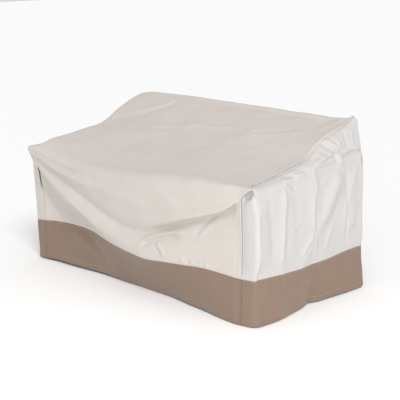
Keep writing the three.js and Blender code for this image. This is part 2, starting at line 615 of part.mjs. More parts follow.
// The sewn edge along a side seam: a flat strip that stands on the surface.
function weltPiece(hand) {
  const c = hand < 0 ? strip : strip + COLUMNS;
  const rings = [];
  for (let row = 0; row <= ROWS; row++) {
    const i = bodyIndex[row][c];
    const next = points[bodyIndex[Math.min(row + 1, ROWS)][c]];
    const before = points[bodyIndex[Math.max(row - 1, 0)][c]];
    const along = next.clone().sub(before).normalize();
    const up = normals[i].clone();
    const over = along.clone().cross(up).normalize().multiplyScalar(WELT / 2);
    const base = points[i].clone().addScaledVector(up, WELT_GAP);
    const crest = points[i].clone().addScaledVector(up, weltRise(row / ROWS));
    rings.push([
      base.clone().sub(over),
      base.clone().add(over),
      crest.clone().add(over),
      crest.clone().sub(over),
    ]);
  }
  const faces = [];
  for (let r = 0; r < rings.length - 1; r++) {
    for (let k = 0; k < 4; k++) {
      const a = r * 4 + k;
      const b = r * 4 + ((k + 1) % 4);
      faces.push([a, b + 4, b], [a, a + 4, b + 4]);
    }
  }
  const e = (rings.length - 1) * 4;
  faces.push([0, 1, 2], [0, 2, 3], [e, e + 2, e + 1], [e, e + 3, e + 2]);
  return geometryOf(rings.flat(), faces);
}

function add(group, name, geometry, finish) {
  const mesh = new THREE.Mesh(geometry, new THREE.MeshStandardMaterial(finish));
  mesh.name = name;
  group.add(mesh);
}

const cover = new THREE.Group();
const upper = new THREE.Group();
const skirt = new THREE.Group();
const seams = new THREE.Group();
cover.add(upper, skirt, seams);

add(upper, "centre_panel", clothPiece("centre_panel"), FINISH.cream);
add(upper, "side_panel_left", clothPiece("side_panel_left"), FINISH.white);
add(upper, "side_panel_right", clothPiece("side_panel_right"), FINISH.white);
for (const end of ["front", "back", "left", "right"]) {
  add(skirt, "skirt_" + end, clothPiece("skirt_" + end), FINISH.taupe);
}
add(seams, "seam_edge_left", weltPiece(-1), FINISH.cream);
add(seams, "seam_edge_right", weltPiece(1), FINISH.cream);

cover.position.set(-SUPPORT.x, -SUPPORT.y, -SUPPORT.z);

export default cover;
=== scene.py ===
import math
from functools import partial

import bpy
import numpy as np
from mathutils import Matrix, Vector


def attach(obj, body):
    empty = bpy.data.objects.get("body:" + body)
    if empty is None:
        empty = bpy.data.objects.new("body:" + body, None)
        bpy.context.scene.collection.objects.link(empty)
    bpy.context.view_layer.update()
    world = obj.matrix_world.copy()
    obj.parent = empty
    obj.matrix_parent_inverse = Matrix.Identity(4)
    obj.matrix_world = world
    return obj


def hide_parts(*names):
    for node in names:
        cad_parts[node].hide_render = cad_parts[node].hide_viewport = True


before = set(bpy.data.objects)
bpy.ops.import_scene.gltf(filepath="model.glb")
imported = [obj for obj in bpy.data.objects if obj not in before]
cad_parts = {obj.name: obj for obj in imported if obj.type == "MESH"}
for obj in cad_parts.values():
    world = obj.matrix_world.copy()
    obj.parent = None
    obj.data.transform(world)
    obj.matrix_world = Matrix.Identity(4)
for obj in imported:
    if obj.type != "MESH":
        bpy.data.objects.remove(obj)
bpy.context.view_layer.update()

print("frame loaded,", len(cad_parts), "nodes")

# the cover's surface, in millimetres: x along the sofa, y to its back, z = 0 at the hem
shape = {
    "halfLength": 735, "halfDepth": 341,
    "seamFront": 672, "seamTop": 686,  # the side seams, from the middle
    "ledge": 588, "postInset": 33, "postTop": 728,  # where the side walls lean in
    "backHem": -4, "backSeam": 174,
    "corner": {"hem": 24, "seam": 11, "wall": 13},  # radii of the upright corners
    "softCorner": {"hem": 36, "seam": 14, "wall": 21},  # and of the slack one, front right
    "wallRise": 120, "cornerRound": 13,
    "brow": {"end": 15, "middle": 36, "from": 380, "foot": 0.6, "up": 0.2, "over": 0.1, "back": 1.25},
    "ridge": {"turn": 26, "over": 1, "up": 4},
    "edgeTurn": 24, "edgeFront": {"over": 3, "up": 5}, "edgeBack": {"over": 1, "up": 3},
    "middle": 250, "topSag": 12,
    "flare": {"left": 19, "right": 37, "rows": 2.2, "slackRows": 3.2},
    "slack": {"out": 20, "reach": 100, "from": (180, 270), "to": (440, 535)},  # of the front right corner
    "sideSeamRise": 8, "overlap": 3, "rollUp": 0.32,
    "hemOutUpTo": 1.05,  # of the skirt's height, to where the hem's shape shows in a side
    "wallFade": {"side": 0.08, "top": 0.06},  # the main folds of a wall die away beside its borders
    "support": (0, 300, 728),  # where the backrest carries the cover: the frame's origin
}
halfLength = shape["halfLength"]
halfDepth = shape["halfDepth"]
topRows = 13  # section rows between the brow and the ridge
seamRow = 3  # the section row of the skirt's seam
browSteps = 2  # section rows on each side of the middle of a turn


def table(header, *rows):
    return {name: np.array(values, float) for name, values in zip(header.split(), zip(*rows))}


# the front, one row for each place along x: how far out of the footprint, and how high
frontSections = table(
    "x hemOut hemZ seamOut seamZ footOut footZ edgeOut edgeZ rollOut"
    " valleyOut valleyZ lipOut lipZ bellyOut browOut browZ",
    (-735, 3, -3, 0, 184, 0, 372, 1, 436, 1, 0, 478, 0, 490, 0, 0, 540),
    (-672, -2, -3, -6, 187, -10, 334, 5, 444, 9, 1, 468, 3, 480, 3, 0, 530),
    (-600, -8, 0, -22, 192, -25, 268, 15, 402, 22, 3, 446, 8, 458, 6, 2, 517),
    (-520, -12, 1, -31, 194, -35, 222, 22, 352, 31, 7, 425, 14, 440, 10, 3, 510),
    (-444, -15, 0, -34, 194, -31, 218, 28, 314, 37, 10, 403, 18, 420, 14, 4, 505),
    (-312, -27, -2, -20, 193, -7, 222, 34, 277, 43, 14, 358, 23, 377, 18, 6, 501),
    (-173, -30, -3, 15, 184, 26, 200, 39, 228, 46, 18, 320, 26, 338, 22, 8, 500),
    (-50, -30, -7, 36, 176, 40, 186, 43, 202, 45, 20, 301, 27, 318, 24, 9, 504),
    (60, -31, -9, 47, 169, 46, 185, 45, 204, 40, 19, 296, 27, 314, 25, 9, 511),
    (150, -30, -7, 51, 165, 48, 186, 44, 212, 35, 14, 297, 28, 321, 25, 8, 520),
    (235, -24, -5, 45, 171, 41, 196, 36, 226, 25, 8, 317, 29, 342, 24, 6, 528),
    (350, -10, -5, 34, 177, 28, 208, 21, 246, 12, 0, 353, 28, 376, 22, 4, 535),
    (467, 4, -4, 20, 182, 15, 222, 9, 264, 4, -3, 391, 24, 412, 17, 3, 540),
    (570, 18, -8, 12, 179, 8, 234, 4, 288, 1, -3, 429, 18, 447, 12, 2, 543),
    (640, 21, -10, 12, 176, 6, 244, 2, 308, 0, -1, 468, 9, 480, 7, 0, 544),
    (672, 16, -10, 8, 176, 4, 248, 1, 316, 0, 0, 478, 4, 490, 4, 0, 543),
    (735, 6, -10, 0, 177, 0, 250, 0, 320, 0, 0, 480, 0, 492, 0, 0, 541),
)
ridgeSections = table(
    "x z",
    (-735, 748), (-640, 760), (-560, 763), (-370, 760), (-42, 749),
    (255, 738), (525, 728), (640, 727), (735, 738),
)
sideSections = table(
    "y leftSeam rightSeam leftEdge rightEdge",
    (-341, 543, 541, 545, 541),
    (-282, 574, 545, 553, 540),
    (-191, 588, 555, 558, 536),
    (-98, 599, 572, 562, 543),
    (0, 612, 593, 576, 571),
    (56, 620, 618, 590, 588),
    (110, 643, 648, 609, 602),
    (160, 675, 668, 633, 624),
    (211, 698, 683, 661, 655),
    (288, 733, 708, 704, 693),
    (341, 752, 726, 725, 712),
)
sideHem = table(
    "y rightOut rightZ leftOut leftZ",
    (-341, 8, -9, 4, 0), (-220, 17, -8, 12, -3), (-133, 6, -6, 4, -2), (-60, -6, -9, -8, 0),
    (0, -24, -6, -6, 1), (50, -8, -8, 6, 0), (124, 2, -5, 14, -3), (237, 14, -7, 6, -4),
    (341, 16, -12, 3, -4),
)
# the belly's lip: how far it drops, stands proud and tucks in behind, how far the belly swells over it,
# how much the lip softens into a plain hollow, and how far that hollow sinks
overhang = table(
    "x drop proud tuck swell soften sink",
    (-735, 0, 0, 0, 0, 1, 0), (-672, 0, 0, -2, 3, 1, 0), (-600, 0, 0, -2, 9, 1, 0),
    (-520, 0, 0, -2, 15, 1, 0), (-312, 0, 0, 0, 17, 1, 4), (-173, 0, 0, 0, 13, 0.95, 16),
    (-50, 0, 0, 0, 8, 0.75, 33), (60, 0, 1, 0, 4, 0.4, 34), (200, 3, 3, 2, 2, 0.1, 15),
    (350, 8, 4, 5, 1, 0, 2), (467, 13, 5, 10, 1, 0, 0), (590, 16, 6, 13, 1, 0, 0),
    (628, 10, 4, 9, 0, 0, 0), (645, 0, 1, 0, 0, 0, 0), (735, 0, 0, 0, 0, 0, 0),
)
# soft points at the corners of the top
ears = [
    {"at": (-735, -341, 540), "pull": (-23, -16, 9), "reach": 44},
    {"at": (735, -341, 541), "pull": (5, -4, 2), "reach": 40},
    {"at": (704, 341, 728), "pull": (8, 6, 12), "reach": 30},
    {"at": (-712, 341, 745), "pull": (8, 0, -6), "reach": 46},
]


def mix(a, b, t):
    return a + (b - a) * t


def smooth(v, low, high):
    t = np.clip((v - low) / (high - low), 0, 1)
    return t * t * (3 - 2 * t)


# 1 between a start and an end, each given by the two places that it turns over
def band(v, start, end):
    return smooth(v, *start) * (1 - smooth(v, *end))


# shares of two neighbours and of their slopes, at t of the way from one to the other
def weights(t):
    return 2 * t**3 - 3 * t**2 + 1, 3 * t**2 - 2 * t**3, t**3 - 2 * t**2 + t, t**3 - t**2


# what a table of two columns gives at a place, on straight lines between its rows
def between(rows, at):
    return np.interp(at, *rows.values())


# a smooth curve through one named column of a table
def curve(rows, key, name):
    keys, values = rows[key], rows[name]
    last = len(keys) - 1
    before = np.maximum(np.arange(last + 1) - 1, 0)
    after = np.minimum(np.arange(last + 1) + 1, last)
    slopes = (values[after] - values[before]) / (keys[after] - keys[before])

    def at(k):
        k = np.clip(k, keys[0], keys[-1])
        i = np.clip(np.searchsorted(keys, k) - 1, 0, last - 1)
        span = keys[i + 1] - keys[i]
        t = (k - keys[i]) / span
        near, far, leave, reach = weights(t)
        bend = slopes[i] * leave + slopes[i + 1] * reach
        return values[i] * near + values[i + 1] * far + span * bend

    return at


def curves(rows, key):
    return {name: curve(rows, key, name) for name in rows if name != key}


front = curves(frontSections, "x")
under = curves(overhang, "x")
ridgeZ = curve(ridgeSections, "x", "z")
side = curves(sideSections, "y")
hem = curves(sideHem, "y")


# makes folds of one kind, by their height, their half width and their way over a face of the cover
def foldsOf(across):
    def fold(rise, reach, *path, fade=0.22):
        return {"rise": rise, "reach": reach, "path": path, "fade": fade, "across": across}

    return fold


# a fold's cross-section, by the distance from its middle in half widths and the side of it:
# a round one, a pressed crease, and a step with one side higher
soft = foldsOf(lambda d, hand: np.exp(-(d**2)))
crisp = foldsOf(lambda d, hand: np.exp(-(np.sqrt(d * d + 0.06) - 0.245) * 1.3))
step = foldsOf(lambda d, hand: 0.5 * (1 + np.tanh(hand * d * 1.6)) * np.exp(-((d / 4) ** 2)))


# where a point of a face lies beside a fold's way: distance, side, and share of the way
def besideWay(path, u, v):
    path = np.array(path, float)
    lengths = np.linalg.norm(np.diff(path, axis=0), axis=1)
    starts = np.concatenate([[0], np.cumsum(lengths)])
    best = np.full(u.shape, 1e9)
    hand = np.ones(u.shape)
    share = np.zeros(u.shape)
    for i, length in enumerate(lengths):
        du, dv = (path[i + 1] - path[i]) / length
        pu, pv = u - path[i][0], v - path[i][1]
        t = np.clip(pu * du + pv * dv, 0, length)
        away = np.hypot(pu - t * du, pv - t * dv)
        nearer = away < best
        best = np.where(nearer, away, best)
        hand = np.where(nearer, np.sign(pu * dv - pv * du), hand)
        share = np.where(nearer, (starts[i] + t) / starts[-1], share)
    return best, hand, share


foldEnd = 0.02  # a fold dies away this far past its ends, as a share of its way


def foldHeight(one, u, v):
    away, hand, share = besideWay(one["path"], u, v)
    ends = band(share, (-foldEnd, one["fade"]), (1 - one["fade"], 1 + foldEnd))
    return one["rise"] * ends * one["across"](away / one["reach"], hand)


# main folds, as in the solids
mainFolds = {}
mainFolds["right"] = [
    soft(8, 30, (-160, 525), (-188, 150)),
    soft(9, 32, (6, 560), (22, 285)),
    soft(7, 28, (22, 285), (-52, 175)),
    soft(11, 38, (190, 530), (66, 310)),
    soft(8, 34, (326, 515), (228, 235)),
    soft(-7, 18, (150, 600), (345, 590)),
    soft(-10, 36, (60, 622), (190, 560)),
]
mainFolds["left"] = [
    soft(8, 32, (-120, 530), (-150, 160)),
    soft(10, 38, (60, 560), (30, 180)),
    soft(8, 34, (250, 560), (170, 230)),
    soft(-6, 20, (150, 600), (345, 588)),
]
mainFolds["back"] = [
    soft(8, 60, (-430, 700), (-380, 0), fade=0.1),
    soft(6, 70, (-90, 690), (-150, 0), fade=0.1),
    soft(8, 55, (250, 690), (300, 0), fade=0.1),
    soft(5, 50, (520, 690), (470, 0), fade=0.1),
]
mainFolds["top"] = [
    soft(5, 46, (-560, 190), (150, 90)),
    soft(-5, 60, (-470, -40), (-180, -110)),
    soft(5, 44, (-160, 200), (120, -20)),
    soft(-5, 55, (330, 40), (600, 180)),
]

# fine creases, pressed and puckered into the cloth by hand
fineFolds = {}
fineFolds["front"] = [
    # the slanting roll on the left of the front, its edge, and the flat triangle below it
    crisp(4, 9, (-663, 453), (-585, 421), (-478, 374), (-392, 335), (-255, 272), (-135, 223), (-81, 200)),
    crisp(-6, 13, (-681, 349), (-647, 307), (-618, 270), (-574, 216), (-546, 192)),
    crisp(-3, 5, (-347, 329), (-287, 312)),
    # the skirt's slanting fold below it
    soft(6, 20, (-490, 172), (-341, 120), (-215, 45)),
    soft(-5, 18, (-430, 178), (-300, 130), (-170, 62)),
    # creases of the lower front
    crisp(-5, 8, (528, 405), (486, 382), (448, 347), (404, 294)),
    soft(3, 10, (540, 392), (500, 366), (464, 334), (424, 286)),
    crisp(-3, 5, (418, 288), (462, 297)),
    crisp(10, 8, (372, 306), (290, 300), (216, 279), (160, 256), (121, 240), (98, 212)),
    soft(-9, 10, (350, 286), (270, 276), (200, 256), (140, 232), (104, 200)),
    soft(-5, 14, (380, 336), (290, 322), (210, 306), (120, 284)),
    soft(6, 8, (190, 252), (212, 238), (232, 222), (262, 190)),
    crisp(-4, 6, (176, 246), (204, 226), (236, 200)),
    # the belly and the brow
    step(4, 15, (190, 494), (245, 462), (322, 444), (375, 424)),
    crisp(3, 8, (373, 538), (466, 528)),
    soft(-3, 26, (-520, 470), (-300, 440), (-120, 400)),
    # puckers over the skirt seam
    soft(4, 7, (350, 212), (362, 184), fade=0.4),
    soft(4, 6, (404, 208), (412, 184), fade=0.4),
    soft(4, 7, (480, 214), (492, 184), fade=0.4),
    soft(-3, 6, (384, 206), (388, 182), fade=0.4),
    soft(3, 6, (-330, 216), (-318, 190), fade=0.4),
]
fineFolds["top"] = [
    soft(4.5, 14, (-380, 44), (-153, 80), (81, 114), (310, 162)),
    soft(6, 26, (-455, -42), (-275, -3), (-100, 31)),
    crisp(4.5, 10, (-123, 55), (23, 10), (140, -22)),
    crisp(5, 9, (190, 130), (289, 111), (362, 86)),
    crisp(5, 8, (289, 111), (318, 148)),
    soft(3, 22, (-269, -164), (-119, -170), (31, -182)),
    soft(3, 9, (-340, 316), (-69, 300), (181, 306)),
    step(-8, 14, (-664, 118), (-600, 130), (-498, 159), (-407, 214), (-345, 292), fade=0.12),
    crisp(4, 8, (-640, 128), (-498, 162), (-412, 214), (-350, 290), fade=0.15),
    soft(-2, 26, (200, -120), (420, -60), (560, 40)),
    soft(4, 12, (318, 96), (430, 130), (540, 176), (610, 214), fade=0.3),
    soft(-2, 10, (300, 122), (420, 158), (520, 204), fade=0.3),
    soft(5, 22, (594, 205), (612, 246), (630, 290), (656, 330), fade=0.12),
    soft(7, 10, (-420, 320), (-300, 318), (0, 314), (300, 312), (600, 314), fade=0.1),
    soft(-4, 7, (-330, 298), (0, 294), (300, 292), (580, 294), fade=0.15),
]
fineFolds["right"] = [
    # the right wall: its upright corner, then folds from the front to the back
    soft(-4, 18, (-262, 500), (-246, 400), (-240, 320), (-243, 230), fade=0.2),
    crisp(6, 11, (-166, 520), (-164, 470), (-170, 400), (-177, 320), (-190, 215), fade=0.1),
    soft(-5, 20, (-140, 480), (-146, 400), (-150, 300), (-160, 220), fade=0.2),
    soft(-4, 26, (-90, 480), (-84, 400), (-84, 310), (-96, 240)),
    crisp(3, 7, (-118, 328), (-58, 358)),
    crisp(5.5, 9, (12, 572), (17, 535), (26, 495), (13, 435), (7, 374), (12, 290), fade=0.1),
    crisp(7, 10, (14, 300), (-6, 272), (-34, 248), (-62, 212), fade=0.15),
    soft(-3.5, 14, (36, 480), (30, 430), (24, 372), (30, 300)),
    crisp(4, 8, (26, 290), (28, 240), (27, 186)),
    soft(7.5, 26, (192, 526), (162, 484), (126, 427), (85, 367), (48, 310), (28, 262), fade=0.16),
    soft(-3, 20, (204, 430), (160, 366), (118, 310), (76, 250), fade=0.2),
    soft(4, 12, (140, 300), (104, 240), (82, 200)),
    crisp(-7.5, 9, (242, 560), (236, 500), (238, 438), (238, 373), (232, 290), (230, 205), fade=0.14),
    soft(6.5, 14, (306, 536), (282, 492), (256, 432), (236, 380), (218, 300), fade=0.16),
    soft(4, 12, (326, 420), (290, 340), (262, 260)),
    soft(4, 8, (-168, 534), (-143, 516), (-112, 494)),
    crisp(-4, 7, (-150, 530), (-118, 512), (-94, 488)),
    soft(4, 9, (66, 486), (100, 504), (136, 506)),
    # puckers along the arm
    crisp(-6, 6, (-150, 556), (-120, 548), (-88, 556)),
    soft(6, 6, (-166, 545), (-134, 538), (-104, 545)),
    soft(6, 6, (-116, 562), (-84, 557), (-50, 566)),
    crisp(-6, 6, (-80, 570), (-44, 562), (-14, 574)),
    soft(6, 6, (-60, 580), (-30, 572), (-6, 584)),
    soft(5, 5, (-92, 548), (-62, 548), (-30, 558)),
    # the crumpled hollow where the arm meets the backrest
    soft(7, 12, (128, 660), (150, 650), (166, 632), (180, 606), (194, 572), (199, 545), fade=0.12),
    soft(-9, 11, (110, 640), (138, 630), (158, 608), (172, 576), fade=0.2),
    crisp(6, 7, (30, 606), (62, 610), (100, 628), (122, 640)),
    crisp(-5, 6, (20, 590), (60, 600), (104, 616), (140, 620)),
    crisp(6, 7, (24, 580), (66, 588), (112, 602), (152, 602)),
    crisp(-5, 6, (40, 572), (80, 578), (126, 590), (160, 588)),
    soft(6, 8, (14, 566), (64, 572), (140, 572), (186, 558)),
    crisp(-5, 5, (90, 626), (108, 606), (116, 584)),
    crisp(5, 5, (66, 616), (82, 598), (88, 578)),
    crisp(-5, 5, (6, 576), (26, 586), (44, 602)),
    # the side of the backrest
    soft(7, 30, (338, 585), (340, 400), (338, 170), fade=0.1),
    crisp(-9, 7, (200, 578), (232, 583), (261, 585), (300, 589), (345, 592), fade=0.08),
    soft(6, 10, (206, 596), (262, 602), (338, 606)),
    soft(-6, 10, (246, 690), (240, 650), (252, 606)),
    soft(6, 10, (196, 672), (190, 645), (206, 608)),
    soft(4, 9, (290, 680), (282, 640), (292, 606)),
    # the right skirt
    soft(4, 7, (-182, 178), (-181, 80), (-180, 2), fade=0.08),
    soft(4, 8, (225, 172), (218, 90), (214, 10), fade=0.08),
    soft(-6, 16, (30, 150), (20, 70), (10, 0), fade=0.15),
    soft(4, 16, (-252, 152), (-310, 92)),
    soft(4, 16, (-44, 96), (-148, 40)),
]
fineFolds["left"] = [
    soft(6, 14, (-120, 530), (-140, 400), (-150, 200)),
    soft(-4, 18, (-40, 500), (-60, 300)),
    soft(5, 14, (60, 550), (48, 400), (30, 190)),
    soft(5, 16, (250, 550), (200, 380), (170, 230)),
    crisp(-6, 7, (190, 590), (340, 584)),
    soft(5, 8, (150, 640), (196, 576)),
    crisp(-4, 6, (60, 580), (120, 596)),
    crisp(-4, 6, (80, 604), (140, 600)),
    soft(4, 10, (-60, 170), (-66, 0), fade=0.08),
    soft(4, 10, (150, 170), (158, 0), fade=0.08),
]
fineFolds["back"] = [
    soft(4, 20, (-430, 690), (-400, 400), (-385, 190)),
    soft(4, 22, (250, 690), (280, 420), (296, 190)),
    soft(-3, 26, (60, 640), (80, 380)),
    soft(3, 14, (-690, 640), (-560, 520)),
    soft(3, 14, (690, 640), (560, 540)),
    soft(4, 16, (-384, 170), (-380, 0), fade=0.08),
    soft(4, 16, (300, 170), (304, 0), fade=0.08),
]

faceAxes = {  # the two axes that a fold's places are given in, and the way the face looks
    "front": (0, 2, (0, -1, 0)), "back": (0, 2, (0, 1, 0)),
    "left": (1, 2, (-1, 0, 0)), "right": (1, 2, (1, 0, 0)), "top": (0, 1, (0, 0, 1)),
}


def browReach(x):
    brow = shape["brow"]
    return mix(brow["middle"], brow["end"], smooth(np.abs(x), brow["from"], shape["seamTop"]))


def foldSum(folds, face, u, v):
    return sum(foldHeight(one, u, v) for one in folds[face])


def topZ(x, y):
    toBack = (y + halfDepth) / (2 * halfDepth)
    seam = np.sign(x) * shape["seamTop"]
    straight = mix(front["browZ"](seam), ridgeZ(seam), toBack)
    seamZ = np.where(x < 0, side["leftSeam"](y), side["rightSeam"](y))
    near = smooth(np.abs(x), shape["middle"], shape["seamTop"])
    sag = shape["topSag"] * np.sin(np.pi * toBack) * (1 - near)
    folds = foldSum(mainFolds, "top", x, y) * (1 - near)
    return mix(front["browZ"](x), ridgeZ(x), toBack) + (seamZ - straight) * near - sag + folds


def valleyZ(x):
    return front["valleyZ"](x) - under["sink"](x)


softLip = {"belly": (0.65, 0.05), "out": 0.3, "up": 0.34}  # shares of the way up from valley to brow


def bellyPoint(x):
    share = softLip["belly"][0] + softLip["belly"][1] * under["soften"](x)
    z = mix(front["lipZ"](x), front["browZ"](x) - browReach(x), share)
    return front["bellyOut"](x) + under["swell"](x), z


def lipPoint(x):
    out, z = bellyPoint(x)
    soften = under["soften"](x)
    plainOut, plainZ = mix(front["valleyOut"](x), out, softLip["out"]), mix(valleyZ(x), z, softLip["up"])
    return (
        mix(front["lipOut"](x) + under["proud"](x), plainOut, soften),
        mix(front["lipZ"](x) - under["drop"](x) - under["sink"](x), plainZ, soften),
    )


def plainStation(name):
    return lambda x: (front[name + "Out"](x), front[name + "Z"](x))


stations = {name: plainStation(name) for name in ("hem", "seam", "foot", "edge")}
stations["roll"] = lambda x: (front["rollOut"](x), mix(front["edgeZ"](x), valleyZ(x), shape["rollUp"]))
stations["valley"] = lambda x: (front["valleyOut"](x) - under["tuck"](x), valleyZ(x))
stations["lip"] = lipPoint
stations["belly"] = bellyPoint
# each row is a station, or lies on the way from one to the next by its shares
frontRows = [
    ("hem", "hem", 0, 0), ("hem", "seam", 0.3, 0.34), ("hem", "seam", 0.66, 0.68), ("seam", "seam", 0, 0),
    ("foot", "foot", 0, 0), ("foot", "edge", 0.62, 0.6), ("edge", "edge", 0, 0), ("roll", "roll", 0, 0),
    ("roll", "valley", 0.45, 0.62), ("valley", "valley", 0, 0), ("lip", "lip", 0, 0),
    ("lip", "belly", 0.5, 0.46), ("belly", "belly", 0, 0),
]
frontCount = len(frontRows)
middleRow = frontCount + browSteps  # the middle of the brow
lastRow = 2 * middleRow + topRows


def turn(a, b, c, t):
    s = 1 - t
    return tuple(s * s * p + 2 * s * t * q + t * t * r for p, q, r in zip(a, b, c))


# y and z over the top at a row: a turn at the front, a plain stretch, and a turn at the back
def overTop(row, frontTurn, backTurn, height):
    top = row - middleRow
    if top <= browSteps:
        return turn(*frontTurn, (top + browSteps) / (2 * browSteps))
    if top >= topRows - browSteps:
        return turn(*backTurn, (top - topRows + browSteps) / (2 * browSteps))
    y = mix(frontTurn[2][0], backTurn[0][0], (top - browSteps) / (topRows - 2 * browSteps))
    return y, height(y)


def browTurn(x):
    brow, reach, out = shape["brow"], browReach(x), front["browOut"](x)
    foot = mix(front["bellyOut"](x), out, brow["foot"])
    back = -halfDepth + brow["back"] * reach
    return (
        (-halfDepth - foot, front["browZ"](x) - reach),
        (-halfDepth - out - brow["over"] * reach, front["browZ"](x) + brow["up"] * reach),
        (back, topZ(x, back)),
    )


def ridgeTurn(x):
    ridge = shape["ridge"]
    start = halfDepth - ridge["turn"]
    return (
        (start, topZ(x, start)),
        (halfDepth + ridge["over"], ridgeZ(x) + ridge["up"]),
        (halfDepth, ridgeZ(x) - ridge["turn"]),
    )


def backRowZ(crestZ, up):
    if up <= seamRow:
        return mix(shape["backHem"], shape["backSeam"], up / seamRow)
    return mix(shape["backSeam"], crestZ, (up - seamRow) / (frontCount - seamRow))


# y and z of a whole row of the centre panel, at the places x
def sectionPoint(x, row):
    if row < frontCount:
        start, end, out, up = frontRows[row]
        a, b = stations[start](x), stations[end](x)
        return -halfDepth - mix(a[0], b[0], out), mix(a[1], b[1], up)
    if lastRow - row >= frontCount:
        return overTop(row, browTurn(x), ridgeTurn(x), lambda y: topZ(x, y))
    z = backRowZ(ridgeZ(x) - shape["ridge"]["turn"], lastRow - row)
    return halfDepth + foldSum(mainFolds, "back", x, z), z


# hand is -1 on the left and 1 on the right
def sideName(hand):
    return "left" if hand < 0 else "right"


# 0 on the front and the back, 1 over the top, turning between a start row and the middle of the brow
def overShare(row, start):
    end = middleRow + 1
    return min(smooth(row, start, end), smooth(lastRow - row, start, end))


def seamX(row, hand):
    flare = shape["flare"]
    reach = flare["slackRows"] if hand > 0 and row < middleRow else flare["rows"]
    out = flare[sideName(hand)] * np.exp(-(((row - middleRow) / reach) ** 2))
    return mix(shape["seamFront"], shape["seamTop"], overShare(row, frontCount - 2)) + out


def cornerRadius(z, y, hand):
    corner = shape["softCorner"] if hand > 0 and y < -halfDepth / 2 else shape["corner"]
    if z < shape["backSeam"]:
        return mix(corner["hem"], corner["seam"], np.clip(z / shape["backSeam"], 0, 1))
    return mix(corner["seam"], corner["wall"], np.clip((z - shape["backSeam"]) / shape["wallRise"], 0, 1))


def wallX(z):
    rise = (z - shape["ledge"]) / (shape["postTop"] - shape["ledge"])
    return halfLength - shape["postInset"] * np.clip(rise, 0, 1.1)


# how far a side stands out of its plain wall: at the hem, and at the slack corner
def wallOut(y, z, hand):
    out = hem[sideName(hand) + "Out"](y) * (1 - smooth(z, 0, shape["hemOutUpTo"] * shape["backSeam"]))
    if hand < 0:
        return out
    slack = shape["slack"]
    near = np.exp(-(((y + halfDepth) / slack["reach"]) ** 2))
    return out + slack["out"] * band(z, slack["from"], slack["to"]) * near


def edgeOf(hand):
    return side[sideName(hand) + "Edge"]


# y and z of the sharp corner line at a row
def cornerLine(row, hand):
    if row < frontCount:
        return sectionPoint(np.array(hand * halfLength, float), row)
    edge, reach = edgeOf(hand), shape["edgeTurn"]
    start, end = -halfDepth + reach, halfDepth - reach
    low, high = edge(-halfDepth), edge(halfDepth)
    if lastRow - row < frontCount:
        return halfDepth, backRowZ(high - reach, lastRow - row)
    frontCorner = (-halfDepth - shape["edgeFront"]["over"], low + shape["edgeFront"]["up"])
    backCorner = (halfDepth + shape["edgeBack"]["over"], high + shape["edgeBack"]["up"])
    frontTurn = ((-halfDepth, low - reach), frontCorner, (start, edge(start)))
    backTurn = ((end, edge(end)), backCorner, (halfDepth, high - reach))
    return overTop(row, frontTurn, backTurn, edge)


# y and z of the wall's own border: the corner line drawn in by the corner's radius
def wallLine(row, hand):
    y, z = cornerLine(row, hand)
    radius, seam = cornerRadius(z, y, hand), shape["backSeam"]
    share = overShare(row, frontCount - 1)
    inward = y + radius if row < middleRow + topRows / 2 else y - radius
    shrink = (z - seam) / (edgeOf(hand)(y) - seam) if z > seam else 0
    squeeze = (halfDepth - shape["cornerRound"]) / halfDepth
    return mix(inward, y * squeeze, share), z - mix(shrink, 1, share) * shape["cornerRound"]


# a point of the strip that wraps the edge, from the seam (share 0) to the wall (share 1)
def stripPoint(row, hand, share):
    seamAt = hand * seamX(row, hand)
    sy, sz = sectionPoint(np.array(seamAt, float), row)
    ey, ez = cornerLine(row, hand)
    wy, wz = wallLine(row, hand)
    bulge = wallOut(ey, ez, hand)
    seam = np.array([seamAt, sy, sz], float)
    corner = np.array([hand * (wallX(ez) + bulge), ey, ez], float)
    wall = np.array([hand * (wallX(wz) + bulge), wy, wz], float)
    bend = np.clip(cornerRadius(ez, ey, hand) / np.linalg.norm(corner - seam), 0.1, 0.8)
    start = mix(seam, corner, 1 - bend)
    if share <= 0.5:
        return mix(seam, start, share * 2)
    return np.array(turn(start, corner, wall, share * 2 - 1))


# fine rows between the section rows, and fine columns
grid = {
    "pitch": 7.4,  # between columns of the centre panel
    "seamSteps": (0, 3, 7, 13, 19, 22.5, 25, 27.5, 31),  # columns beside a side seam
    "strip": (0, 0.04, 0.1, 0.18, 0.28, 0.39, 0.5, 0.58, 0.66, 0.74, 0.82, 0.91, 1),
    "rows": [  # so many section rows, with so many steps in each
        (1, 24), (2, 11), (1, 14), (1, 12), (1, 10), (1, 5), (1, 7), (1, 5), (1, 5), (1, 8), (1, 9), (1, 9),
        (4, 4), (9, 9), (4, 3), (10, 4), (3, 5),
    ],
    "sideFiner": 2,
}


# the first fine row at a section row
def rowAt(rows, at):
    return int(np.searchsorted(rows, at - 1e-6))


def fineRows(finer):
    rows, at = [0.0], 0
    for count, steps in grid["rows"]:
        for k in range(count * steps * finer):
            rows.append(at + (k + 1) / (steps * finer))
        at += count
    return np.array(rows)


def centreShares():
    half = (shape["seamFront"] + shape["seamTop"]) / 2
    inner = half - grid["seamSteps"][-1]
    plain = np.linspace(-inner, inner, int(round(2 * inner / grid["pitch"])) + 1)
    edge = half - np.array(grid["seamSteps"][:-1])
    return np.concatenate([-edge, plain, edge[::-1]]) / half


